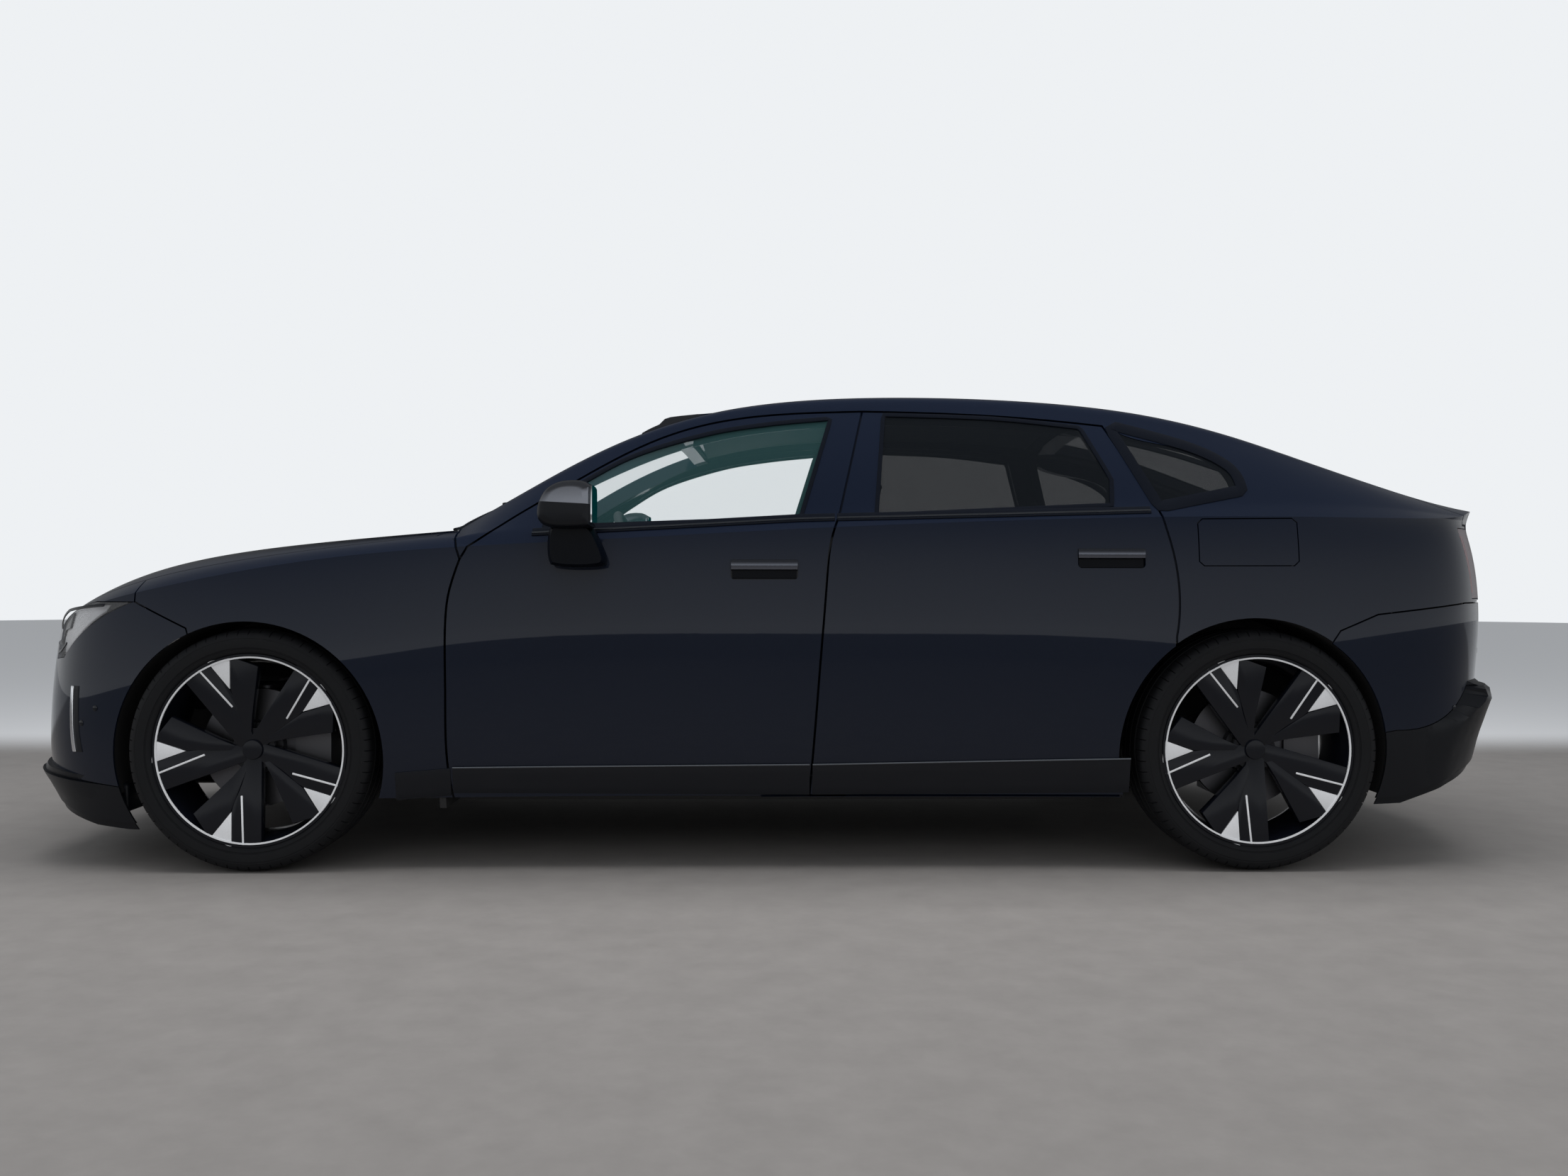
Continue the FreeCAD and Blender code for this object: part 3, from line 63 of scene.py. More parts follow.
car = {  # metres, as in the frame
    "middleX": 0.0235, "length": 5.0, "halfWidth": 0.971, "height": 1.546,
    "frontAxleX": -1.6265, "rearAxleX": 1.4755, "axleZ": 0.374, "wheelY": 0.826, "tyreRadius": 0.374}

view = {"place": (-0.0525, -5.207, 0.8985), "focalPixels": 1956.7, "imageWidth": 2212, "sensorWidth": 36.0,
        "clip": (0.05, 200.0), "forward": (0.014293, 0.999881, -0.005690),
        "right": (0.999897, -0.014284, 0.001571)}
cameraData = bpy.data.cameras.new("camera")
cameraData.sensor_width = view["sensorWidth"]
cameraData.lens = view["sensorWidth"] * view["focalPixels"] / view["imageWidth"]
cameraData.clip_start, cameraData.clip_end = view["clip"]
camera = bpy.data.objects.new("camera", cameraData)
forward, right = Vector(view["forward"]).normalized(), Vector(view["right"]).normalized()
up = right.cross(forward)
camera.matrix_world = Matrix.Translation(view["place"]) @ Matrix((right, up, -forward)).transposed().to_4x4()
bpy.context.scene.collection.objects.link(camera)
bpy.context.scene.camera = camera


class Socket:  # a node's output, which takes Python's operators
    def __init__(self, tree, out):
        self.tree, self.out = tree, out

    def maths(self, operation, first, second):
        node = self.tree.nodes.new("ShaderNodeMath")
        node.operation = operation
        for entry, value in zip(node.inputs, (first, second)):
            if isinstance(value, Socket):
                self.tree.links.new(value.out, entry)
            else:
                entry.default_value = value
        return Socket(self.tree, node.outputs[0])

    def __add__(self, other): return self.maths("ADD", self, other)
    def __radd__(self, other): return self.maths("ADD", other, self)
    def __rsub__(self, other): return self.maths("SUBTRACT", other, self)
    def __mul__(self, other): return self.maths("MULTIPLY", self, other)
    def __rmul__(self, other): return self.maths("MULTIPLY", other, self)
    def __pow__(self, other): return self.maths("POWER", self, other)
    def __gt__(self, other): return self.maths("GREATER_THAN", self, other)


class Finish:  # one material
    def __init__(self, name, **settings):
        self.material = bpy.data.materials.new(name)
        self.material.use_nodes = True
        self.tree = self.material.node_tree
        self.shader = self.tree.nodes["Principled BSDF"]
        for entry, value in settings.items():
            self.set(entry, value)

    def fill(self, socket, value):
        if isinstance(value, Socket):
            self.tree.links.new(value.out, socket)
        elif socket.type == "RGBA" and len(value) == 3:
            socket.default_value = (*value, 1.0)
        else:
            socket.default_value = value

    def set(self, entry, value):
        self.fill(self.shader.inputs[entry.replace("_", " ")], value)

    def node(self, kind, settings=None, out=0, **values):  # an input is named, or numbered as in i3
        made = self.tree.nodes.new("ShaderNode" + kind)
        for key, value in (settings or {}).items():
            setattr(made, key, value)
        for key, value in values.items():
            numbered = key[0] == "i" and key[1:].isdigit()
            self.fill(made.inputs[int(key[1:]) if numbered else key.replace("_", " ")], value)
        return Socket(self.tree, made.outputs[out])

    def place(self):
        return self.node("TexCoord", out=3)

    def noise(self, scale, detail, roughness=0.5):
        return self.node("TexNoise", Vector=self.place(), Scale=scale, Detail=detail, Roughness=roughness)

    def bump(self, height, distance, strength):
        self.set("Normal", self.node("Bump", Height=height, Distance=distance, Strength=strength))

    def blend(self, mask, low, high):  # two colours by a mask
        return self.node("Mix", {"data_type": "RGBA"}, out=2, i0=mask, i6=low, i7=high)


# the body's surfaces, as rows of control points: the same shares as in the solids
rowHeights = [0.052, 0.130, 0.207, 0.291, 0.388, 0.479, 0.556, 0.615, 0.660, 0.702, 0.731, 0.783, 1.050]
sideInsets = [
    [0.062, 0.026, 0.005, 0.004, 0.014, 0.032, 0.066, 0.113, 0.165, 0.216, 0.258, 0.309, 0.309],
    [0.062, 0.026, 0.003, 0.004, 0.016, 0.036, 0.068, 0.108, 0.155, 0.201, 0.237, 0.288, 0.288],
    [0.072, 0.041, 0.015, 0.003, 0.000, 0.006, 0.021, 0.041, 0.064, 0.093, 0.118, 0.155, 0.155],
    [0.098, 0.064, 0.029, 0.010, 0.002, 0.000, 0.004, 0.010, 0.019, 0.033, 0.046, 0.077, 0.077],
    [0.082, 0.046, 0.019, 0.004, 0.000, 0.002, 0.007, 0.013, 0.023, 0.037, 0.052, 0.082, 0.082],
    [0.072, 0.036, 0.020, 0.018, 0.012, 0.000, 0.003, 0.014, 0.029, 0.048, 0.025, 0.022, 0.022],
    [0.072, 0.036, 0.022, 0.020, 0.014, 0.000, 0.003, 0.014, 0.029, 0.052, 0.018, 0.012, 0.012]]
plan = [
    (-0.4960, 0.000, 0.0), (-0.4960, 0.165, 0.0), (-0.4936, 0.412, 0.0), (-0.4860, 0.622, 0.4),
    (-0.4715, 0.782, 0.9), (-0.4500, 0.893, 1.2), (-0.4160, 0.958, 1.6), (-0.3760, 0.991, 1.9),
    (-0.3300, 1.001, 2.0), (-0.2700, 0.996, 2.3), (-0.2100, 0.989, 2.8), (-0.1300, 0.986, 3.0),
    (-0.0400, 0.986, 3.0), (0.0600, 0.987, 3.0), (0.1600, 0.990, 3.0), (0.2300, 0.996, 3.5),
    (0.2904, 1.001, 4.0), (0.3500, 0.992, 4.2), (0.3960, 0.966, 4.5), (0.4250, 0.912, 4.8),
    (0.4436, 0.812, 5.2), (0.4580, 0.674, 5.7), (0.4720, 0.490, 6.0), (0.4830, 0.278, 6.0),
    (0.4860, 0.124, 6.0), (0.4860, 0.000, 6.0)]
greenhouse = [
    ((-0.202, 0.976, 0.6384), (-0.208, 0.924, 0.6650), (-0.222, 0.793, 0.6600), (-0.250, 0.6680)),
    ((-0.190, 0.976, 0.6410), (-0.193, 0.925, 0.6750), (-0.202, 0.764, 0.7030), (-0.224, 0.7180)),
    ((-0.170, 0.977, 0.6442), (-0.171, 0.925, 0.6805), (-0.172, 0.733, 0.7620), (-0.192, 0.7730)),
    ((-0.140, 0.978, 0.6488), (-0.140, 0.925, 0.6856), (-0.138, 0.704, 0.8290), (-0.156, 0.8350)),
    ((-0.100, 0.980, 0.6546), (-0.100, 0.924, 0.6908), (-0.096, 0.680, 0.8960), (-0.112, 0.9020)),
    ((-0.050, 0.982, 0.6617), (-0.050, 0.924, 0.6973), (-0.044, 0.659, 0.9480), (-0.058, 0.9610)),
    ((0.012, 0.984, 0.6708), (0.012, 0.923, 0.7050), (0.016, 0.645, 0.9715), (0.008, 0.9910)),
    ((0.084, 0.986, 0.6792), (0.084, 0.922, 0.7147), (0.086, 0.636, 0.9764), (0.084, 1.0003)),
    ((0.160, 0.989, 0.6856), (0.160, 0.921, 0.7232), (0.160, 0.635, 0.9690), (0.160, 0.9935)),
    ((0.230, 0.993, 0.6902), (0.230, 0.920, 0.7296), (0.230, 0.644, 0.9465), (0.234, 0.9710)),
    ((0.290, 0.995, 0.6921), (0.290, 0.915, 0.7335), (0.288, 0.661, 0.9010), (0.296, 0.9280)),
    ((0.344, 0.987, 0.6940), (0.344, 0.898, 0.7335), (0.340, 0.684, 0.8383), (0.352, 0.8655)),
    ((0.390, 0.968, 0.6960), (0.390, 0.870, 0.7270), (0.388, 0.711, 0.7810), (0.404, 0.8140)),
    ((0.426, 0.932, 0.6973), (0.426, 0.839, 0.7140), (0.426, 0.726, 0.7400), (0.450, 0.7620)),
    ((0.452, 0.896, 0.6979), (0.454, 0.814, 0.7060), (0.456, 0.721, 0.7220), (0.488, 0.7350)),
    ((0.474, 0.875, 0.6986), (0.478, 0.803, 0.7020), (0.480, 0.711, 0.7150), (0.516, 0.7280))]
hood = [
    (-0.484, -0.512, 0.310, 0.345, 0.370, 0.395, 0.396), (-0.474, -0.502, 0.370, 0.396, 0.433, 0.456, 0.459),
    (-0.458, -0.488, 0.436, 0.464, 0.498, 0.515, 0.518), (-0.432, -0.462, 0.491, 0.521, 0.553, 0.569, 0.572),
    (-0.398, -0.426, 0.540, 0.570, 0.601, 0.616, 0.619), (-0.350, -0.376, 0.586, 0.611, 0.634, 0.648, 0.652),
    (-0.290, -0.312, 0.614, 0.644, 0.657, 0.671, 0.675), (-0.230, -0.246, 0.633, 0.666, 0.676, 0.689, 0.693),
    (-0.176, -0.186, 0.643, 0.681, 0.691, 0.704, 0.709)]
surfaceShape = {"ledge": 1.2, "ledgeShare": 0.55, "glassShares": (0.08, 0.36, 0.70), "glassBulge": 0.016,
                "cornerRound": 0.10, "roofCorner": 0.12, "roofMiddle": (0.42, 0.76), "crown": (0.62, 0.93),
                "hoodRows": (1.040, 0.978, 0.925, 0.780, 0.400), "hoodDrop": 0.030, "inside": (0, 0, 0.6)}
rayFrom = {"side": 3.0, "top": 3.0, "end": 4.0}


def splineWeights(count, samples):  # clamped cubic weights of each control point at even steps
    spans = count - 3
    knots = np.concatenate([[0] * 3, np.arange(spans + 1), [spans] * 3]).astype(float)
    t = np.minimum(np.linspace(0, spans, samples), spans - 1e-9)[:, None]
    weights = ((knots[:-1] <= t) & (t < knots[1:])).astype(float)
    for degree in (1, 2, 3):
        low, high = knots[degree:-1] - knots[:-degree - 1], knots[degree + 1:] - knots[1:-degree]
        up = np.divide(t - knots[:-degree - 1], low, out=np.zeros((samples, len(low))), where=low > 0)
        down = np.divide(knots[degree + 1:] - t, high, out=np.zeros((samples, len(high))), where=high > 0)
        weights = up * weights[:, :-1] + down * weights[:, 1:]
    return weights


def sideRows():
    points = np.array([(x * car["length"], -y * car["halfWidth"]) for x, y, zone in plan])
    rows = []
    for i, (x, y, zone) in enumerate(plan):
        along = points[min(i + 1, len(plan) - 1)] - points[max(i - 1, 0)]
        inward = np.array([-along[1], along[0]]) / np.hypot(*along)
        low = min(int(zone), len(sideInsets) - 2)
        near, far = (np.array(sideInsets[k]) for k in (low, low + 1))
        insets = near * (1 - zone + low) + far * (zone - low)
        flat = points[i] + inward * insets[:, None] * car["halfWidth"]
        rows.append(np.column_stack([flat, np.array(rowHeights) * car["height"]]))
    for row in (rows[0], rows[-1]):
        row[:, 1] = 0
    return np.array(rows)


def mirroredRows(half):
    half = np.array(half)
    return np.vstack([half, (half[:-1] * (1, -1, 1))[::-1]])


def greenhouseRows():
    shape, sections = surfaceShape, []
    size = np.array([car["length"], -car["halfWidth"], car["height"]])
    for crease, base, corner, middle in greenhouse:
        a, b, c = (np.array(p) * size for p in (crease, base, corner))
        d = np.array([middle[0] * size[0], 0, middle[1] * size[2]])
        lean = c - b
        out = np.array([0, -lean[2], lean[1]])
        out *= np.linalg.norm(lean) * shape["glassBulge"] / np.linalg.norm(out)
        low, mid, high = (b + lean * share for share in shape["glassShares"])
        rows = [a + (a - b) * shape["ledge"], a, a + (b - a) * shape["ledgeShare"], b, low, mid + out,
                high + out, c - lean * shape["cornerRound"], c, c + (d - c) * shape["roofCorner"]]
        for share, crown in zip(shape["roofMiddle"], shape["crown"]):
            p = c + (d - c) * share
            p[2] = c[2] + (d[2] - c[2]) * crown
            rows.append(p)
        sections.append(mirroredRows(rows + [d]))
    return np.array(sections)


def hoodRows():
    shape, sections = surfaceShape, []
    for xSide, xMiddle, *heights in hood:
        rows = []
        for y, z in zip(shape["hoodRows"] + (0,), [heights[0] - shape["hoodDrop"]] + heights):
            x = xMiddle + (xSide - xMiddle) * min(y / shape["hoodRows"][2], 1) ** 2
            rows.append((x * car["length"], -y * car["halfWidth"], z * car["height"]))
        sections.append(mirroredRows(rows))
    return np.array(sections)


class Surface:  # one of the body's smooth surfaces, to find places and directions on it
    def __init__(self, rows, along, across):
        grid = np.einsum("up,vq,pqc->uvc", splineWeights(len(rows), along),
                         splineWeights(len(rows[0]), across), rows)
        grid[..., 0] += car["middleX"]
        bm = bmesh.new()
        bmesh.ops.create_grid(bm, x_segments=along - 1, y_segments=across - 1, size=1)
        for vertex in bm.verts:
            u, v = (vertex.co.x + 1) / 2 * (along - 1), (vertex.co.y + 1) / 2 * (across - 1)
            vertex.co = grid[round(u), round(v)]
        bmesh.ops.triangulate(bm, faces=bm.faces)
        bmesh.ops.recalc_face_normals(bm, faces=bm.faces)
        bm.normal_update()
        middle = Vector(surfaceShape["inside"])
        if sum(f.normal.dot(f.calc_center_median() - middle) for f in bm.faces) < 0:
            bmesh.ops.reverse_faces(bm, faces=bm.faces)
            bm.normal_update()
        self.corners = [[v.co.copy() for v in f.verts] for f in bm.faces]
        self.normals = [[v.normal.copy() for v in f.verts] for f in bm.faces]
        self.tree = BVHTree.FromBMesh(bm)
        bm.free()

    def smooth(self, place, index):
        weights = interpolate.poly_3d_calc(self.corners[index], place)
        return sum((n * w for n, w in zip(self.normals[index], weights)), Vector()).normalized()

    def nearest(self, point):
        flip = Vector((1, -1 if point.y > 0 else 1, 1))
        place, direction, index, distance = self.tree.find_nearest(point * flip)
        return place * flip, self.smooth(place, index) * flip, distance

    def hit(self, start, direction):
        place, normal, index, distance = self.tree.ray_cast(Vector(start), Vector(direction))
        return (place, self.smooth(place, index)) if place else None


sideSkin = Surface(sideRows(), 420, 150)
topSkin = Surface(greenhouseRows(), 260, 260)
hoodSkin = Surface(hoodRows(), 140, 140)
skins = [sideSkin, topSkin, hoodSkin]
print("stage: body surfaces ready")


def onSide(x, z):  # place and direction of the car's left skin at a length and a height
    hits = [skin.hit((x, -rayFrom["side"], z), (0, 1, 0)) for skin in skins]
    side, tops = hits[0], [h for h in hits[1:] if h]
    top = min(tops, key=lambda h: h[0].y) if tops else side
    return max((side or top, top), key=lambda h: h[0].y)


def onTop(x, y):  # the same from above
    hits = [h for h in (skin.hit((x, y, rayFrom["top"]), (0, 0, -1)) for skin in (topSkin, hoodSkin)) if h]
    return max(hits, key=lambda h: h[0].z)


def onFront(y, z, towards=1):  # from the front, or from behind with -1
    return sideSkin.hit((-rayFrom["end"] * towards, -abs(y), z), (towards, 0, 0))


merge = {"piece": 1e-6, "node": 2e-6, "ring": 1e-5}


def finished(bm, name, finishes, body, angle=35):  # a piece that rides on a body
    bmesh.ops.remove_doubles(bm, verts=bm.verts, dist=merge["piece"])
    mesh = bpy.data.meshes.new(name)
    for edge in bm.edges:
        edge.smooth = len(edge.link_faces) == 2 and edge.calc_face_angle(0) < math.radians(angle)
    for face in bm.faces:
        face.smooth = True
    bm.to_mesh(mesh)
    bm.free()
    piece = bpy.data.objects.new(name, mesh)
    bpy.context.scene.collection.objects.link(piece)
    for key in [finishes] if isinstance(finishes, str) else finishes:
        mesh.materials.append(finish[key].material)
    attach(piece, body)
    return piece


def bevelled(bm, edges, offset, segments=2):
    bmesh.ops.bevel(bm, geom=edges, offset=offset, segments=segments, profile=0.5, affect="EDGES",
                    material=-1, clamp_overlap=True)


def sharpEdges(edges, degrees):
    return [e for e in edges if len(e.link_faces) == 2 and e.calc_face_angle(0) > math.radians(degrees)]


def newVerts(made):
    return [g for g in made["geom"] if isinstance(g, bmesh.types.BMVert)]


def triangulated(bm):
    bmesh.ops.triangulate(bm, faces=[f for f in bm.faces if len(f.verts) > 3])


def mirroredShape(bm):
    bmesh.ops.scale(bm, verts=bm.verts, vec=(1, -1, 1))
    bmesh.ops.reverse_faces(bm, faces=bm.faces)


def along(line, x):  # a line's height at a length
    return float(np.interp(x, *zip(*line)))


dressing = {"longestEdge": 0.045, "rounds": 4, "panelReach": 0.0012, "glassReach": 0.009, "agree": 0.82,
            "sharpAngle": 34}


def dressed(node, finishes, glass=False, shaped=None):  # a CAD panel's copy with its true curvature
    reach = dressing["glassReach"] if glass else dressing["panelReach"]
    bm = bmesh.new()
    bm.from_mesh(nodes[node].data)
    mark = bm.faces.layers.int.new("skin")
    bmesh.ops.remove_doubles(bm, verts=bm.verts, dist=merge["node"])
    if shaped:
        shaped(bm)
    bm.normal_update()

    def matches():  # each face's skin: the one that lies near and agrees best with its direction
        found = {}
        for face in bm.faces:
            centre, best = face.calc_center_median(), dressing["agree"]
            for skin in skins:
                place, normal, distance = skin.nearest(centre)
                agreement = face.normal.dot(normal)
                if distance < reach and abs(agreement) > best and (glass or agreement > 0):
                    found[face], best = skin, abs(agreement)
        return found

    for turn in range(dressing["rounds"]):
        edges = {e for f in matches() for e in f.edges if e.calc_length() > dressing["longestEdge"]}
        if not edges:
            break
        bmesh.ops.subdivide_edges(bm, edges=list(edges), cuts=1)
        triangulated(bm)
        bm.normal_update()
    found = matches()
    if not glass:
        moves = {}
        for face, skin in found.items():
            for vertex in face.verts:
                if vertex not in moves:
                    place, normal, distance = skin.nearest(vertex.co)
                    if distance < reach:
                        moves[vertex] = place
        for vertex, place in moves.items():
            vertex.co = place
        bm.normal_update()
    for face, skin in found.items():
        face[mark] = skins.index(skin) + 1
    piece = finished(bm, node + "_skin", finishes, nodes[node]["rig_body"], dressing["sharpAngle"])
    mesh, cache = piece.data, {}
    marks = [item.value for item in mesh.attributes["skin"].data]
    mesh.attributes.remove(mesh.attributes["skin"])
    normals = np.zeros((len(mesh.loops), 3))
    for polygon in [p for p in mesh.polygons if marks[p.index]]:
        index = marks[polygon.index] - 1
        for loop in polygon.loop_indices:
            vertex = mesh.loops[loop].vertex_index
            if (vertex, index) not in cache:
                cache[vertex, index] = skins[index].nearest(mesh.vertices[vertex].co)[1]
            normal = cache[vertex, index]
            normals[loop] = normal if normal.dot(polygon.normal) > 0 else -normal
    mesh.normals_split_custom_set(normals.tolist())
    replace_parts(piece, node)


# finishes: each varies a little about its colour and its roughness
def shaded(colour, share):
    return tuple(c * share for c in colour)


def paint():
    made = Finish("bodyPaint", Metallic=0.0, Coat_Weight=1.0, Coat_Roughness=0.02, Coat_IOR=1.35,
                  Specular_IOR_Level=0.08)
    flake = made.noise(900.0, 1.0)
    made.set("Base_Color", made.blend(flake, (0.0022, 0.0045, 0.0115), (0.0042, 0.0085, 0.0215)))
    made.set("Roughness", 0.34 + 0.10 * flake)
    return made


def plastic(name, colour, roughness, grain=300.0, depth=0.00001, shine=0.5):
    made = Finish(name, Roughness=roughness, Specular_IOR_Level=shine)
    speckle = made.noise(grain, 2.0)
    made.set("Base_Color", made.blend(speckle, shaded(colour, 0.85), shaded(colour, 1.15)))
    made.set("Roughness", roughness - 0.06 + 0.12 * speckle)
    made.bump(speckle, depth, 0.35)
    return made


def glass(name, colour, alpha):
    made = Finish(name, Roughness=0.0, IOR=1.5, Coat_Weight=0.0)
    haze = made.noise(3.0, 1.0)
    made.set("Base_Color", made.blend(haze, colour, shaded(colour, 1.08)))
    made.set("Alpha", alpha)
    return made


def metal(name, colour, roughness, scale=180.0):
    made = Finish(name, Metallic=1.0)
    brushed = made.noise(scale, 4.0)
    made.set("Base_Color", made.blend(brushed, shaded(colour, 0.88), colour))
    made.set("Roughness", roughness - 0.05 + 0.12 * brushed)
    return made


def rubber():
    made = Finish("tyreRubber", Roughness=0.62, Specular_IOR_Level=0.25)
    dust = made.noise(26.0, 6.0)
    made.set("Base_Color", made.blend(dust, (0.0040, 0.0044, 0.0056), (0.0090, 0.0095, 0.0110)))
    made.set("Roughness", 0.52 + 0.18 * dust)
    made.bump(made.noise(900.0, 2.0), 0.00015, 0.4)
    return made


def cloth(name, colour):
    made = Finish(name, Roughness=0.62)
    grain = made.node("TexVoronoi", Vector=made.place(), Scale=420.0)
    shade = made.noise(14.0, 4.0)
    made.set("Base_Color", made.blend(shade, shaded(colour, 0.86), colour))
    made.set("Roughness", 0.50 + 0.16 * shade)
    made.bump(grain, 0.0004, 0.45)
    return made


plastics = {  # the material's name, colour and roughness, its grain and how deep that is, and its shine
    "gloss": ("glossBlack", (0.0030, 0.0042, 0.0075), 0.12, 300.0, 0.00001, 0.32),
    "trim": ("satinBlack", (0.0045, 0.0055, 0.0080), 0.36, 1600.0, 0.00008, 0.25),
    "under": ("underCoat", (0.02, 0.02, 0.021), 0.7, 500.0, 0.0006),
    "cabin": ("cabinTrim", (0.030, 0.031, 0.034), 0.55, 1200.0, 0.0002),
    "rim": ("rimBlack", (0.0040, 0.0048, 0.0080), 0.20, 700.0, 0.00002, 0.30),
    "silver": ("silverFace", (0.80, 0.81, 0.83), 0.28, 700.0),
    "liner": ("headliner", (0.20, 0.21, 0.21), 0.8, 900.0, 0.0003),
    # a very dark, dull finish: painted shade in the handle recesses and on the mirror foot under the head
    "pocket": ("pocketLining", (0.0010, 0.0018, 0.0040), 0.30, 300.0, 0.00001, 0.12),
    "reflector": ("lampReflector", (0.80, 0.81, 0.83), 0.20),
    "lampBlack": ("lampUnit", (0.03, 0.03, 0.032), 0.15),
    "redGlow": ("redBar", (0.20, 0.012, 0.014), 0.25),
    "plate": ("blankPlate", (0.05, 0.05, 0.052), 0.35, 500.0, 0.00002),
    "display": ("displayGlass", (0.010, 0.011, 0.013), 0.08)}
glasses = {  # the material's name, colour and alpha, which counts once for each of a pane's two faces
    "clear": ("clearGlass", (0.10, 0.25, 0.26), 0.065), "screen": ("screenGlass", (0.10, 0.20, 0.21), 0.11),
    "dark": ("darkGlass", (0.0045, 0.0060, 0.0080), 0.56), "lens": ("lampLens", (0.55, 0.56, 0.58), 0.12),
    "red": ("tailLens", (0.40, 0.35, 0.37), 0.42)}
metals = {  # the material's name, colour, roughness and scale
    "chrome": ("brightTrim", (0.75, 0.76, 0.78), 0.10),
    "steel": ("discSteel", (0.12, 0.12, 0.13), 0.42, 400.0),
    # the dark metal of the belt and sill strips is a painted highlight line along them
    "cast": ("castMetal", (0.16, 0.16, 0.17), 0.55, 90.0), "bead": ("darkChrome", (0.20, 0.22, 0.25), 0.22),
    # shell: grey metal that paints the sheen of the mirror's black gloss cap, a painted reflection
    "handle": ("handleCap", (0.15, 0.16, 0.19), 0.16), "shell": ("mirrorShell", (0.24, 0.25, 0.28), 0.18),
    "mirror": ("mirrorGlass", (0.75, 0.77, 0.79), 0.06)}
finish = {"paint": paint(), "rubber": rubber(), "seat": cloth("seatCover", (0.045, 0.046, 0.050))}
for make, table in ((plastic, plastics), (glass, glasses), (metal, metals)):
    finish.update((key, make(*values)) for key, values in table.items())
print("stage: finishes made")

# a grey floor that turns pale towards the walls, and soft light from above
studio = {"floor": (0.225, 0.213, 0.206), "edge": (0.70, 0.71, 0.73), "floorRadius": 30.0, "paleFrom": 1.9,
          "paleTo": 3.0, "wall": 0.90, "wallColour": (0.95, 0.975, 1.0), "light": 0.62, "mirroredLow": 0.95,
          "mirroredHigh": 0.12, "mirroredBack": -0.92, "steepening": 1.6, "bend": 0.7}
lamps = {  # power, size, place and target
    "topLight": (300.0, (7.0, 3.2), (0.0, -0.6, 4.6), (0.0, 0.0, 0.0)),
    "sideLight": (60.0, (8.0, 2.2), (0.0, -7.5, 3.4), (0.0, 0.0, 0.6))}


def stageFloor():
    bm = bmesh.new()
    bmesh.ops.create_circle(bm, cap_ends=True, segments=96, radius=studio["floorRadius"])
    made = Finish("floor", Roughness=0.5)
    mottle = made.noise(7.0, 8.0, roughness=0.7)
    tile = made.blend(mottle, shaded(studio["floor"], 0.80), shaded(studio["floor"], 1.20))
    behind = made.node("SeparateXYZ", out=1, i0=made.place())
    pale = made.node("MapRange", {"interpolation_type": "SMOOTHSTEP"}, Value=behind,
                     From_Min=studio["paleFrom"], From_Max=studio["paleTo"])
    made.set("Base_Color", made.blend(pale, tile, studio["edge"]))
    mesh = bpy.data.meshes.new("floor")
    bm.to_mesh(mesh)
    bm.free()
    floor = bpy.data.objects.new("floor", mesh)
    mesh.materials.append(made.material)
    bpy.context.scene.collection.objects.link(floor)


def areaLight(name, power, size, place, target):
    data = bpy.data.lights.new(name, "AREA")
    data.shape, data.energy, data.size, data.size_y = "RECTANGLE", power, *size
    lamp = bpy.data.objects.new(name, data)
    lamp.location = place
    lamp.rotation_mode = "QUATERNION"
    lamp.rotation_quaternion = (Vector(target) - Vector(place)).to_track_quat("-Z", "Y")
    lamp.visible_glossy = False
    bpy.context.scene.collection.objects.link(lamp)


def surround():  # bright walls for the eye, dimmer ones in the paint's reflections
    world = bpy.data.worlds.new("surround")
    bpy.context.scene.world = world
    world.use_nodes = True
    tree = world.node_tree
    path = tree.nodes.new("ShaderNodeLightPath")
    split = tree.nodes.new("ShaderNodeSeparateXYZ")
    tree.links.new(tree.nodes.new("ShaderNodeTexCoord").outputs["Generated"], split.inputs[0])
    across, upward = Socket(tree, split.outputs[1]), Socket(tree, split.outputs[2])
    eye, through, glossy = (Socket(tree, path.outputs["Is %s Ray" % kind])
                            for kind in ("Camera", "Transmission", "Glossy"))
    shown, mirrored = (eye + through) > 0.5, glossy > 0.5
    slope = upward * studio["steepening"]
    steepness = slope.maths("MINIMUM", slope.maths("MAXIMUM", slope, 0.0), 1.0)
    fall = studio["mirroredHigh"] - studio["mirroredLow"]
    ceiling = studio["mirroredLow"] + fall * steepness ** studio["bend"]
    behind = across.maths("MAXIMUM", across, 0.0)
    walls = ceiling + studio["mirroredBack"] * behind * behind * (1.0 - steepness)
    unseen = mirrored * walls + (1.0 - mirrored) * studio["light"]
    strength = shown * studio["wall"] + (1.0 - shown) * unseen
    background = tree.nodes["Background"]
    background.inputs["Color"].default_value = (*studio["wallColour"], 1.0)
    tree.links.new(strength.out, background.inputs["Strength"])


stageFloor()
surround()
for name, settings in lamps.items():
    areaLight(name, *settings)
bpy.context.scene.view_settings.view_transform = "Standard"
print("stage: floor and light")

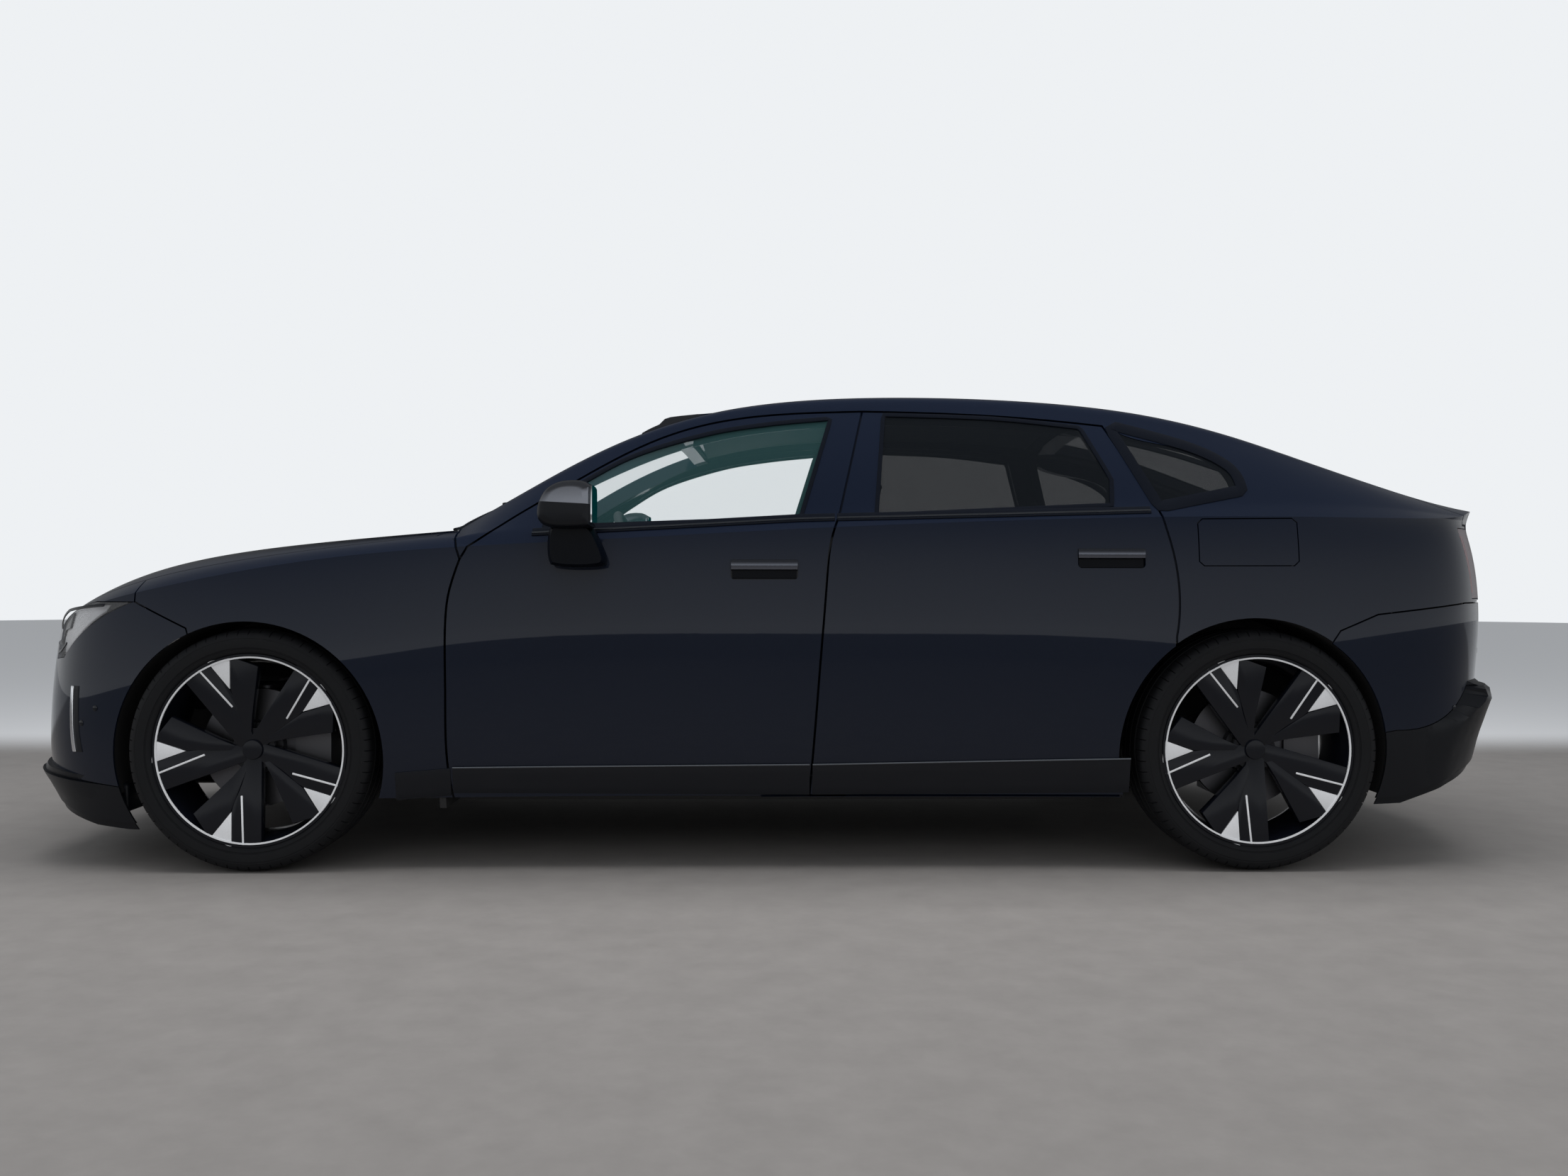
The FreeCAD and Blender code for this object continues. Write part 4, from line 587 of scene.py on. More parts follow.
# the sensor pod over the windscreen, and the dark trim that stands out past the paint at the corners
roofPod = {"x": (-0.560, -0.250), "halfWidth": 0.165, "cuts": 14, "proud": 0.0008, "least": 0.0003,
           "top": ((-0.560, 1.400), (-0.470, 1.450), (-0.430, 1.468), (-0.412, 1.490), (-0.360, 1.497),
                   (-0.300, 1.503), (-0.250, 1.512))}
flares = {  # the reach, towards which end, from where in x and y, over how much, and its share below a line
    "rear_valance": {"reach": 0.075, "towards": 1, "from": (1.97, 0.50), "over": (0.20, 0.35),
                     "top": ((1.857, 0.431), (1.987, 0.452), (2.064, 0.490), (2.108, 0.567), (2.146, 0.594)),
                     "depths": ((0.004, 0.0), (0.035, 0.85), (0.070, 1.0), (0.200, 0.35), (0.300, 0.0))},
    "front_lip": {"reach": 0.034, "towards": -1, "from": (2.06, 0.35), "over": (0.14, 0.30),
                  "top": ((-2.5, 0.340), (-1.9, 0.340)),
                  "depths": ((0.010, 0.1), (0.035, 0.9), (0.055, 1.0), (0.090, 0.5), (0.140, 0.0))}}
flareMesh = {"longestEdge": 0.03, "rounds": 3, "outside": 0.02}


def loweredPod(bm):  # the pod's top, down to a low wedge
    def near(vertex):
        return roofPod["x"][0] < vertex.co.x < roofPod["x"][1] and abs(vertex.co.y) < roofPod["halfWidth"]

    def height(vertex):
        return vertex.co.z - onTop(vertex.co.x, vertex.co.y)[0].z

    def podFaces(least):
        inside = [f for f in bm.faces if all(near(v) for v in f.verts)]
        return [f for f in inside if any(height(v) > least for v in f.verts)]

    for x in np.linspace(*roofPod["x"], roofPod["cuts"] + 2)[1:-1]:
        faces = podFaces(roofPod["proud"])
        parts = faces + list({e for f in faces for e in f.edges}) + list({v for f in faces for v in f.verts})
        bmesh.ops.bisect_plane(bm, geom=parts, plane_co=(x, 0, 0), plane_no=(1, 0, 0))
    for vertex in bm.verts:
        if near(vertex) and height(vertex) > roofPod["proud"]:
            lowest = vertex.co.z - height(vertex) + roofPod["least"]
            vertex.co.z = max(min(vertex.co.z, along(roofPod["top"], vertex.co.x)), lowest)
    for face in podFaces(0.5 * roofPod["least"]):
        face.material_index = 1
    triangulated(bm)


def flared(node):
    flare = flares[node]

    def shares(point):
        found = [(c - start) / over for c, start, over in
                 zip((point.x * flare["towards"], abs(point.y)), flare["from"], flare["over"])]
        return [min(max(share, 0.0), 1.0) for share in found]

    def shaped(bm):
        for turn in range(flareMesh["rounds"]):
            edges = [e for e in bm.edges if e.calc_length() > flareMesh["longestEdge"] and
                     all(max(shares(v.co)) > 0 for v in e.verts)]
            bmesh.ops.subdivide_edges(bm, edges=edges, cuts=1)
            triangulated(bm)
        bm.normal_update()
        outer = [v for v in bm.verts if v.normal.x * flare["towards"] > flareMesh["outside"]]
        for vertex in outer:  # the inner side stays
            level = along(flare["depths"], along(flare["top"], vertex.co.x) - vertex.co.z)
            for share in shares(vertex.co):
                level *= share * share * (3 - 2 * share)
            vertex.co.x += flare["reach"] * flare["towards"] * level
    return shaped


# painted panels, dark trim and glass with their true curvature
for node in ("front_left_door", "front_right_door", "rear_left_door", "rear_right_door", "body_sides",
             "fenders", "front_bumper", "rear_bumper", "hood", "tailgate", "charge_flap"):
    dressed(node, "paint")
dressed("roof_panel", ("paint", "gloss"), shaped=loweredPod)
dressed("cowl_panel", "trim")
for node in flares:
    dressed(node, "trim", shaped=flared(node))
panes = (  # the finish, the slot and the nodes
    ("clear", "clear_glass", ("front_left_door_glass", "front_right_door_glass")),
    ("screen", "clear_glass", ("windscreen",)),
    ("dark", "dark_glass", ("rear_left_door_glass", "rear_right_door_glass", "quarter_glass", "rear_glass")),
    ("lens", "lamp_clear", ("headlamps",)), ("red", "lamp_red", ("tail_lamps",)))
for key, slot, names in panes:
    for node in names:
        dressed(node, key, glass=True)
print("stage: panels dressed")

plainNodes = {
    "under": ("underbody", "arch_liners", "battery_pack"), "cabin": ("dashboard", "steering_wheel"),
    "cast": ("front_subframe", "rear_subframe", "left_knuckle", "right_knuckle")}
for key, names in plainNodes.items():
    for node in names:
        nodes[node].data.materials.clear()
        nodes[node].data.materials.append(finish[key].material)


def resampled(points, count):  # points at even steps along a line of them
    points = np.array(points, float)
    lengths = np.concatenate([[0], np.cumsum(np.linalg.norm(np.diff(points, axis=0), axis=1))])
    at = np.linspace(0, lengths[-1], count)
    return np.column_stack([np.interp(at, lengths, points[:, k]) for k in range(points.shape[1])])


def curved(points, count, closed=False):  # a smooth line through the points
    points = [np.array(p, float) for p in points]
    ring = [points[-1]] + points + points[:2] if closed else [points[0]] + points + [points[-1]]
    line = []
    for a, b, c, d in zip(ring, ring[1:], ring[2:], ring[3:]):
        for t in np.linspace(0, 1, 12, endpoint=False):
            bend = (2 * a - 5 * b + 4 * c - d) * t ** 2 + (3 * b - a - 3 * c + d) * t ** 3
            line.append(0.5 * (2 * b + (c - a) * t + bend))
    line.append(points[0] if closed else points[-1])
    return resampled(line, count)


def sheet(name, columns, rows, surface, finishes, body, slot="black_trim", lift=0.0015, depth=0.004,
          edge=0.0006, angle=35, closed=False):  # a thin piece over a surface, a function of two shares
    bm = bmesh.new()
    bmesh.ops.create_grid(bm, x_segments=columns, y_segments=rows, size=1)
    out = bm.verts.layers.float_vector.new("outward")
    for vertex in bm.verts:
        place, normal = surface((vertex.co.x + 1) / 2, (vertex.co.y + 1) / 2)
        vertex.co = Vector(place) + Vector(normal) * lift
        vertex[out] = normal
    if closed:
        bmesh.ops.remove_doubles(bm, verts=bm.verts, dist=merge["ring"])
    for vertex in newVerts(bmesh.ops.extrude_face_region(bm, geom=bm.faces[:])):
        vertex.co -= vertex[out] * (depth + lift)
    bmesh.ops.recalc_face_normals(bm, faces=bm.faces)
    bm.normal_update()
    if edge:
        bevelled(bm, sharpEdges(bm.edges, 50), edge)
    bm.verts.layers.float_vector.remove(bm.verts.layers.float_vector["outward"])
    return finished(bm, name, finishes, body, angle)


def mirroredSurface(surface):  # the same on the car's right
    def flipped(s, t):
        place, normal = surface(s, t)
        return Vector(place) * Vector((1, -1, 1)), Vector(normal) * Vector((1, -1, 1))
    return flipped


hands = (("left", -1), ("right", 1))
doorsFront, doorsRear = ("front_left_door", "front_right_door"), ("rear_left_door", "rear_right_door")
wholeBody = ("body", "body")


def onBothSides(name, finishes, bodies, columns, rows, surface, **settings):
    for hand, body, kept in zip(("left", "right"), bodies, (surface, mirroredSurface(surface))):
        sheet("%s_%s" % (hand, name), columns, rows, kept, finishes, body, **settings)


def sideSurface(xFrom, xTo, low, high, roll=0.0):  # on the car's side, between two lines in x and z
    def surface(s, t):
        x = xFrom + (xTo - xFrom) * s
        place, normal = onSide(x, along(low, x) * (1 - t) + along(high, x) * t)
        return Vector(place) + Vector(normal) * roll * math.sin(math.pi * t), normal
    return surface


def raised(line, height):
    return [(x, z + height) for x, z in line]


# black moulding under the side windows, with a fine raised strip along it whose bright dark metal is a
# painted highlight line
belt = {"low": [(-0.775, 1.0330), (-0.40, 1.0530), (0.058, 1.0790), (0.60, 1.0925), (1.155, 1.1075)],
        "high": [(-0.775, 1.0560), (-0.40, 1.0765), (0.058, 1.1030), (0.60, 1.1165), (1.155, 1.1290)],
        "spans": ((-0.770, 0.1665), (0.1745, 1.150)), "laid": {"lift": 0.0035, "edge": 0.0015},
        "beadFoot": 0.0060, "bead": 0.0045, "beadLaid": {"lift": 0.0062, "edge": 0.0012}}
for tag, bodies, span in zip(("front", "rear"), (doorsFront, doorsRear), belt["spans"]):
    onBothSides(tag + "_belt", "gloss", bodies, 60, 3, sideSurface(*span, belt["low"], belt["high"]),
                **belt["laid"])
    bead = [raised(belt["low"], height) for height in (belt["beadFoot"], belt["beadFoot"] + belt["bead"])]
    onBothSides(tag + "_belt_bead", "bead", bodies, 60, 1, sideSurface(*span, *bead), **belt["beadLaid"])

# sill moulding along the foot of the doors and of the fenders; the ridge along the doors' part, in the same
# bright dark metal, is a painted highlight line
sill = {"low": [(-1.16, 0.2420), (0.10, 0.2330), (1.20, 0.2430)],
        "high": [(-1.16, 0.3230), (0.10, 0.3330), (1.20, 0.3550)],
        "spans": ((-1.010, 0.0895), (0.0975, 1.080)), "laid": {"lift": 0.0030, "edge": 0.0012},
        "ridge": 0.0050, "ridgeLaid": {"lift": 0.0065, "edge": 0.0015},
        "fenderSpan": (-1.185, -1.0165), "fenderLow": [(-1.185, 0.2180), (-1.0165, 0.2330)],
        "fenderHigh": [(-1.185, 0.3060), (-1.0165, 0.3190)]}
ridgeLow = raised(sill["high"], -sill["ridge"])
for tag, bodies, span in zip(("front", "rear"), (doorsFront, doorsRear), sill["spans"]):
    onBothSides(tag + "_sill", "gloss", bodies, 60, 4, sideSurface(*span, sill["low"], ridgeLow),
                **sill["laid"])
    onBothSides(tag + "_sill_ridge", "bead", bodies, 60, 1, sideSurface(*span, ridgeLow, sill["high"]),
                **sill["ridgeLaid"])
onBothSides("fender_sill", "gloss", wholeBody, 12, 4,
            sideSurface(*sill["fenderSpan"], sill["fenderLow"], sill["fenderHigh"]), **sill["laid"])
print("stage: belt and sill mouldings")

# door handles over their pockets, whose lower half gets a very dark dull sheet as painted shade in the recess
handles = {"spans": ((-0.1545, 0.0505), (0.9145, 1.1205)),
           "heights": ((0.9020, 0.9307, 0.9612), (0.9370, 0.9678, 0.9969)),
           "margin": 0.0030, "roll": 0.0035, "pocketLaid": {"lift": -0.0090, "depth": 0.012, "edge": 0.0},
           "capLaid": {"lift": 0.0046, "depth": 0.002, "edge": 0.0012}}


def flat(z):
    return [(0, z)]


for tag, bodies, (xFrom, xTo), (low, middle, high) in zip(("front", "rear"), (doorsFront, doorsRear),
                                                          handles["spans"], handles["heights"]):
    gap = handles["margin"]
    # the pocket sheet, very dark and dull and sunk into the recess, is painted shade
    onBothSides(tag + "_handle_pocket", "pocket", bodies, 24, 4,
                sideSurface(xFrom + gap, xTo - gap, flat(low + gap), flat(middle)), **handles["pocketLaid"])
    onBothSides(tag + "_handle_cap", "handle", bodies, 24, 10,
                sideSurface(xFrom, xTo, flat(middle), flat(high), handles["roll"]), **handles["capLaid"])
print("stage: door handles")

# rims: a spun barrel, five groups of flat blades with bright wedges, and a fine bright ring
rim = {"groups": 5, "turn": 4.0, "steps": 96, "bladeEdge": 0.0014, "sharpAngle": 40,
       "barrel": ((0.2965, -0.1190), (0.2965, 0.1190), (0.2860, 0.1190), (0.2757, 0.0994), (0.2668, 0.0596),
                  (0.2668, -0.0397), (0.2757, -0.0729), (0.2880, -0.1150), (0.2900, -0.1190)),
       "face": ((0.0, -0.0861), (0.0623, -0.0875), (0.1483, -0.1007), (0.2491, -0.1150), (0.2965, -0.1180)),
       "back": ((0.0, -0.0530), (0.0623, -0.0530), (0.1483, -0.0690), (0.2965, -0.0822)),
       "ring": ((0.2835, -0.1150), (0.2835, -0.1196), (0.2885, -0.1200), (0.2885, -0.1150)), "ringSteps": 120,
       "hubRadii": (0.060, 0.066), "hubDepth": 0.034, "hubSunk": 0.021,
       "capRadii": (0.032, 0.030), "capDepth": 0.010, "capProud": 0.004, "capFront": 0.005, "capEdge": 0.002}
blades = (  # an outline along the spoke and square to it, how proud it stands, its finish and its depth
    (((0.000, -0.027), (0.297, -0.057), (0.299, 0.033), (0.191, 0.045), (0.089, 0.030), (0.000, 0.020)),
     0.0, 0, None),
    (((0.015, 0.000), (0.089, 0.025), (0.191, 0.047), (0.275, 0.103), (0.205, 0.158), (0.091, 0.057)),
     0.0, 0, None),
    (((0.193, 0.0455), (0.299, 0.0345), (0.276, 0.1015)), 0.0006, 1, None),
    (((0.142, 0.0175), (0.296, -0.0045), (0.297, 0.0015), (0.143, 0.0235)), 0.0010, 1, 0.004))
brake = {"outline": ((0.0, -0.0400), (0.078, -0.0400), (0.082, -0.0180), (0.182, -0.0160), (0.182, 0.0080),
                     (0.0, 0.0080)),
         "boltCircle": 0.054, "boltHead": 0.009, "boltY": -0.0840, "boltDepth": 0.012}
tread = {"depth": 0.0075, "grooveYs": (-0.075, -0.026, 0.026, 0.075), "grooveHalf": 0.0055, "grooveFoot": 0.7,
         "grooveEdge": 0.0008, "blocks": 68, "notchShares": (0.0, 0.055, 0.50, 0.945), "notchDepth": 0.005,
         "notchFromY": 0.082, "fromRadius": 0.3600, "crownDrop": 0.0042, "crownBend": 2.2, "shoulderY": 0.108,
         "wall": [(0.2965, -0.1080), (0.2985, -0.1200), (0.3040, -0.1262), (0.3110, -0.1290),
                  (0.3125, -0.1278), (0.3150, -0.1282), (0.3165, -0.1306), (0.3290, -0.1322),
                  (0.3400, -0.1321), (0.3415, -0.1308), (0.3440, -0.1306), (0.3455, -0.1313),
                  (0.3530, -0.1285), (0.3600, -0.1235), (0.3640, -0.1190), (0.3665, -0.1150),
                  (0.3690, -0.1080)]}
sideways = Matrix.Rotation(math.radians(90), 4, "X")


def facing(direction):  # the turn that points a shape's Z that way
    return Vector(direction).to_track_quat("Z", "Y").to_matrix().to_4x4()


def cone(bm, place, turn, radii, depth, segments):
    made = bmesh.ops.create_cone(bm, cap_ends=True, segments=segments, radius1=radii[0], radius2=radii[1],
                                 depth=depth, matrix=Matrix.Translation(place) @ turn)
    return made["verts"]


def ringOf(bm, points):  # a closed line
    verts = [bm.verts.new(p) for p in points]
    return verts, [bm.edges.new(pair) for pair in zip(verts, verts[1:] + verts[:1])]


def skinned(bm, rings):  # a skin over rings of edges, closed at both ends
    for near, far in zip(rings, rings[1:]):
        bmesh.ops.bridge_loops(bm, edges=near + far)
    for cap in (rings[0], rings[-1]):
        bmesh.ops.holes_fill(bm, edges=cap, sides=0)
    bmesh.ops.recalc_face_normals(bm, faces=bm.faces)


def spun(bm, outline, steps, materialIndex=0):  # about the wheel's axis, from an outline in radius and y
    before = set(bm.faces)
    verts, edges = ringOf(bm, [(0, y, r) for r, y in outline])
    bmesh.ops.spin(bm, geom=verts + edges, axis=(0, 1, 0), cent=(0, 0, 0), angle=math.tau, steps=steps,
                   use_merge=True, use_duplicate=False)
    for face in set(bm.faces) - before:
        face.material_index = materialIndex
    bmesh.ops.remove_doubles(bm, verts=bm.verts, dist=merge["piece"])


def onAxle(bm, sign, x, turned=True):  # from the middle to the wheel's place, turned round on the right
    bmesh.ops.recalc_face_normals(bm, faces=bm.faces)
    if turned and sign > 0:
        mirroredShape(bm)
    bmesh.ops.translate(bm, verts=bm.verts, vec=(x, sign * car["wheelY"], car["axleZ"]))


def bladeSolid(bm, outline, proud, materialIndex, depth):
    front = [bm.verts.new((-t, 0, -r)) for r, t in outline]
    made = bmesh.ops.triangulate(bm, faces=[bm.faces.new(front)])
    back = newVerts(bmesh.ops.extrude_face_region(bm, geom=made["faces"]))
    for vertex in front + back:
        radius = math.hypot(vertex.co.x, vertex.co.z)
        vertex.co.y = along(rim["face"], radius) - proud
        if vertex in back:
            vertex.co.y = along(rim["back"], radius) if depth is None else vertex.co.y + depth
    for face in {f for v in front + back for f in v.link_faces}:
        face.material_index = materialIndex


def wheelRim(place, hand, sign, x):
    bm = bmesh.new()
    spun(bm, rim["barrel"], rim["steps"])
    barrel = set(bm.faces)
    for blade in blades:
        bladeSolid(bm, *blade)
    spokes = [f for f in bm.faces if f not in barrel]
    bmesh.ops.recalc_face_normals(bm, faces=spokes)
    bm.normal_update()
    bevelled(bm, sharpEdges({e for f in spokes for e in f.edges}, rim["sharpAngle"]), rim["bladeEdge"])
    spokes = [f for f in bm.faces if f not in barrel]
    moving, turns = list({v for f in spokes for v in f.verts}), rim["groups"] - 1
    bmesh.ops.rotate(bm, verts=moving, cent=(0, 0, 0),
                     matrix=Matrix.Rotation(math.radians(rim["turn"]), 3, (0, 1, 0)))
    geom = moving + list({e for f in spokes for e in f.edges}) + spokes
    bmesh.ops.spin(bm, geom=geom, axis=(0, 1, 0), cent=(0, 0, 0), angle=math.tau * turns / rim["groups"],
                   steps=turns, use_duplicate=True, use_merge=False)
    face = along(rim["face"], 0)
    cone(bm, (0, face + rim["hubSunk"], 0), sideways, rim["hubRadii"], rim["hubDepth"], 48)
    cap = cone(bm, (0, face - rim["capProud"], 0), sideways, rim["capRadii"], rim["capDepth"], 48)
    front = face - rim["capFront"]
    bevelled(bm, [e for e in {e for v in cap for e in v.link_edges} if all(v.co.y < front for v in e.verts)],
             rim["capEdge"], 3)
    spun(bm, rim["ring"], rim["ringSteps"], 1)
    onAxle(bm, sign, x)
    node = "%s_%s_rim" % (place, hand)
    piece = finished(bm, node + "_spokes", ("rim", "silver"), nodes[node]["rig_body"], 28)
    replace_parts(piece, node)


def brakeDisc(place, hand, sign, x):  # with the wheel's bolts
    bm = bmesh.new()
    spun(bm, brake["outline"], rim["steps"])
    for k in range(rim["groups"]):
        angle = math.tau * (k + 0.5) / rim["groups"]
        spot = (brake["boltCircle"] * math.sin(angle), brake["boltY"], brake["boltCircle"] * math.cos(angle))
        cone(bm, spot, sideways, (brake["boltHead"], brake["boltHead"]), brake["boltDepth"], 6)
    onAxle(bm, sign, x)
    body = nodes["%s_%s_rim" % (place, hand)]["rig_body"]
    finished(bm, "%s_%s_disc" % (place, hand), "steel", body, 30)


def topAt(y):  # the crown's radius
    return car["tyreRadius"] - tread["crownDrop"] * (abs(y) / tread["shoulderY"]) ** tread["crownBend"]


def tyre(place, hand, sign, x):  # four grooves, notched shoulders and plain rings on the sidewalls
    foot, groove, edge = car["tyreRadius"] - tread["depth"], tread["grooveHalf"], tread["grooveEdge"]
    crown = []
    for centre in tread["grooveYs"]:
        for side in (-1, 1):
            lip = centre + side * groove
            flank = [(topAt(centre), lip + side * edge), (topAt(centre) - edge, lip),
                     (foot, centre + side * groove * tread["grooveFoot"])]
            crown += flank if side < 0 else flank[::-1]
    bm = bmesh.new()
    perBlock = len(tread["notchShares"])
    steps = tread["blocks"] * perBlock
    spun(bm, tread["wall"] + crown + [(r, -y) for r, y in reversed(tread["wall"])], steps)
    for vertex in bm.verts:  # blocks: uneven steps, and a narrow notch at each block's end
        reach = math.hypot(vertex.co.x, vertex.co.z)
        step = round(math.atan2(vertex.co.x, vertex.co.z) / math.tau * steps) % steps
        blocksOn = step // perBlock + tread["notchShares"][step % perBlock]
        if reach > tread["fromRadius"]:
            if vertex.co.y > 0:
                blocksOn += 0.5
            if abs(vertex.co.y) > tread["notchFromY"] and step % perBlock == 0:
                reach -= tread["notchDepth"]
        angle = math.tau * blocksOn / tread["blocks"]
        vertex.co.x, vertex.co.z = reach * math.sin(angle), reach * math.cos(angle)
    onAxle(bm, sign, x, turned=False)
    node = "%s_%s_tyre" % (place, hand)
    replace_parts(finished(bm, node + "_tread", "rubber", nodes[node]["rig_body"], 40), node)


for place, x in (("front", car["frontAxleX"]), ("rear", car["rearAxleX"])):
    for hand, sign in hands:
        for make in (tyre, wheelRim, brakeDisc):
            make(place, hand, sign, x)
print("stage: wheels")

# door mirrors: a rounded head on its foot, a fine seam, and the glass in the rear face; the head's grey metal
# shell is a painted reflection, the sheen of a black gloss cap, and the foot's very dark dull finish is
# painted shade under the head
mirror = {"outline": [(-0.5655, 1.0560), (-0.5655, 1.1800), (-0.6000, 1.1960), (-0.6600, 1.1930),
                      (-0.7050, 1.1680), (-0.7290, 1.1200), (-0.7270, 1.0760), (-0.6950, 1.0560),
                      (-0.6300, 1.0520)],
          "sections": ((-0.9330, 0.74), (-0.9370, 0.84), (-0.9500, 0.94), (-0.9850, 1.0), (-1.0350, 1.0),
                       (-1.0700, 0.97), (-1.0860, 0.91), (-1.0940, 0.82), (-1.0970, 0.66)),
          "centre": (-0.6400, 1.1250), "seamZ": 1.0930, "seamHeight": 0.0022, "seamSlope": 0.05,
          "foot": [(-0.6985, 0.9450), (-0.6985, 1.0600), (-0.5800, 1.0600), (-0.5335, 0.9450)],
          "footSections": ((-1.020, 0.88), (-1.000, 1.0), (-0.905, 1.0), (-0.880, 1.0)), "footRound": 0.55,
          "glass": [(-0.950, 1.075), (-0.950, 1.160), (-0.965, 1.176), (-1.060, 1.180), (-1.078, 1.165),
                    (-1.080, 1.080), (-1.066, 1.068), (-0.965, 1.064)],
          "glassLift": 0.0012, "glassDepth": 0.004}


def swept(outline, middle, sections, rearX=0.0):  # rings of one outline, each drawn in by its share
    bm, rings = bmesh.new(), []
    for y, share in sections:
        spots = middle + (outline - middle) * share
        rings.append(ringOf(bm, [(min(x, rearX), y, z) for x, z in spots])[1])
    skinned(bm, rings)
    return bm


def doorMirror(hand, sign):
    node, rearX = hand + "_mirror", mirror["outline"][0][0]
    body = nodes[node]["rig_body"]
    rear = np.linspace(mirror["outline"][0], mirror["outline"][1], 10)[:-1]
    front = curved(mirror["outline"][1:] + mirror["outline"][:1], 66)[:-1]
    bm = swept(np.vstack([rear, front]), np.array(mirror["centre"]), mirror["sections"], rearX)
    for z in (mirror["seamZ"], mirror["seamZ"] + mirror["seamHeight"]):
        bmesh.ops.bisect_plane(bm, geom=bm.verts[:] + bm.edges[:] + bm.faces[:], plane_co=(0, 0, z),
                               plane_no=(mirror["seamSlope"], 0, 1))
    for face in bm.faces:
        centre = face.calc_center_median()
        level = centre.z - mirror["seamZ"] + mirror["seamSlope"] * centre.x
        face.material_index = 0 if level > mirror["seamHeight"] else 1
    if sign > 0:
        mirroredShape(bm)
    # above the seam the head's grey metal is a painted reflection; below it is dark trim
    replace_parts(finished(bm, node + "_head", ("shell", "trim"), body, angle=42), node)
    share = mirror["footRound"]
    straight = resampled(mirror["foot"] + mirror["foot"][:1], 40)[:-1]
    outline = curved(mirror["foot"], 40, closed=True)[:-1] * share + straight * (1 - share)
    bm = swept(outline, np.mean(mirror["foot"], axis=0), mirror["footSections"])
    if sign > 0:
        mirroredShape(bm)
    # the foot's very dark dull finish is painted shade under the mirror head
    finished(bm, node + "_foot", "pocket", body, angle=42)
    bm = bmesh.new()
    edge = curved(mirror["glass"], 48, closed=True)[:-1]
    face = bm.faces.new([bm.verts.new((rearX + mirror["glassLift"], y * -sign, z)) for y, z in edge])
    bmesh.ops.recalc_face_normals(bm, faces=[face])
    for vertex in newVerts(bmesh.ops.extrude_face_region(bm, geom=[face])):
        vertex.co.x -= mirror["glassDepth"]
    bmesh.ops.recalc_face_normals(bm, faces=bm.faces)
    finished(bm, node + "_glass", "mirror", body, angle=30)


for hand, sign in hands:
    doorMirror(hand, sign)
print("stage: door mirrors")

# window outlines, in x and z, with the black seal that runs round each
windows = {
    "front": [[(0.0595, 1.0919)], [(-0.7365, 1.0619)],
              [(-0.7215, 1.1450), (-0.6235, 1.2130), (-0.4655, 1.3000), (-0.2325, 1.3721), (-0.0365, 1.4050)],
              [(0.1625, 1.4250)]],
    "rear": [[(1.0335, 1.1351)], [(0.2975, 1.1011)], [(0.3365, 1.4390), (0.6935, 1.4270)], [(0.9755, 1.3970)],
             [(1.0465, 1.2190)]],
    "quarter": [[(1.1885, 1.1425)], [(1.0885, 1.3914), (1.3195, 1.3211), (1.4285, 1.2571)],
                [(1.4475, 1.1940)]]}
seal = {"outer": {"front": 0.0075, "rear": 0.0075, "quarter": 0.030}, "inner": 0.0060, "columns": 120,
        "laid": {"lift": 0.0022, "edge": 0.0008, "closed": True}}


def windowLine(stretches, count):  # straight sides and curved ones, as in the solids
    line = []
    for stretch, following in zip(stretches, stretches[1:] + stretches[:1]):
        points = stretch + following[:1]
        line += list((curved if len(points) > 2 else resampled)(points, 40))[:-1]
    return resampled(line + line[:1], count + 1)[:-1]


def movedOut(line, distance):
    before, after = np.roll(line, 1, axis=0), np.roll(line, -1, axis=0)
    run = after - before
    normal = np.column_stack([run[:, 1], -run[:, 0]]) / np.linalg.norm(run, axis=1)[:, None]
    area = np.sum(line[:, 0] * after[:, 1] - after[:, 0] * line[:, 1])
    return line + normal * distance * (1 if area > 0 else -1)


def sealSurface(stretches, outer, inner):
    count = seal["columns"]
    line = windowLine(stretches, count)
    high, low = movedOut(line, outer), movedOut(line, -inner)

    def surface(s, t):
        i = round(s * count) % count
        return onSide(*(low[i] + (high[i] - low[i]) * t))
    return surface


for tag, bodies in (("front", doorsFront), ("rear", doorsRear), ("quarter", wholeBody)):
    onBothSides(tag + "_window_seal", "gloss", bodies, seal["columns"], 2,
                sealSurface(windows[tag], seal["outer"][tag], seal["inner"]), **seal["laid"])
print("stage: window seals")

# front lamps: a ribbed bright reflector behind the clear lens, dark units, and a dark brow and foot
frontLamp = {"low": [(-0.748, 0.660), (-0.775, 0.668), (-0.800, 0.690), (-0.870, 0.800)],
             "high": [(-0.610, 0.742), (-0.700, 0.780), (-0.760, 0.803), (-0.872, 0.822)],
             "behind": 0.022, "ribs": 14, "ribHeight": 0.004, "columns": 56,
             "laid": {"lift": 0.0, "depth": 0.003, "edge": 0.0},
             "units": (([(-0.640, 0.708), (-0.700, 0.718)], [(-0.640, 0.740), (-0.700, 0.764)]),
                       ([(-0.712, 0.734), (-0.772, 0.744)], [(-0.712, 0.766), (-0.772, 0.794)])),
             "unitBehind": 0.012, "unitLaid": {"lift": 0.0, "depth": 0.006, "edge": 0.001},
             "band": 0.009, "bandProud": 0.0016, "bandLaid": {"lift": 0.0, "depth": 0.004, "edge": 0.0006}}


def lampSurface(lowLine, highLine, behind, ripple=0.0, ribs=0, columns=frontLamp["columns"]):
    low, high = resampled(lowLine, columns + 1), resampled(highLine, columns + 1)

    def surface(s, t):
        place, normal = onFront(*(low[round(s * columns)] * (1 - t) + high[round(s * columns)] * t))
        wave = ripple * abs(math.sin(math.pi * ribs * t))
        return place + normal * (wave - behind), normal
    return surface


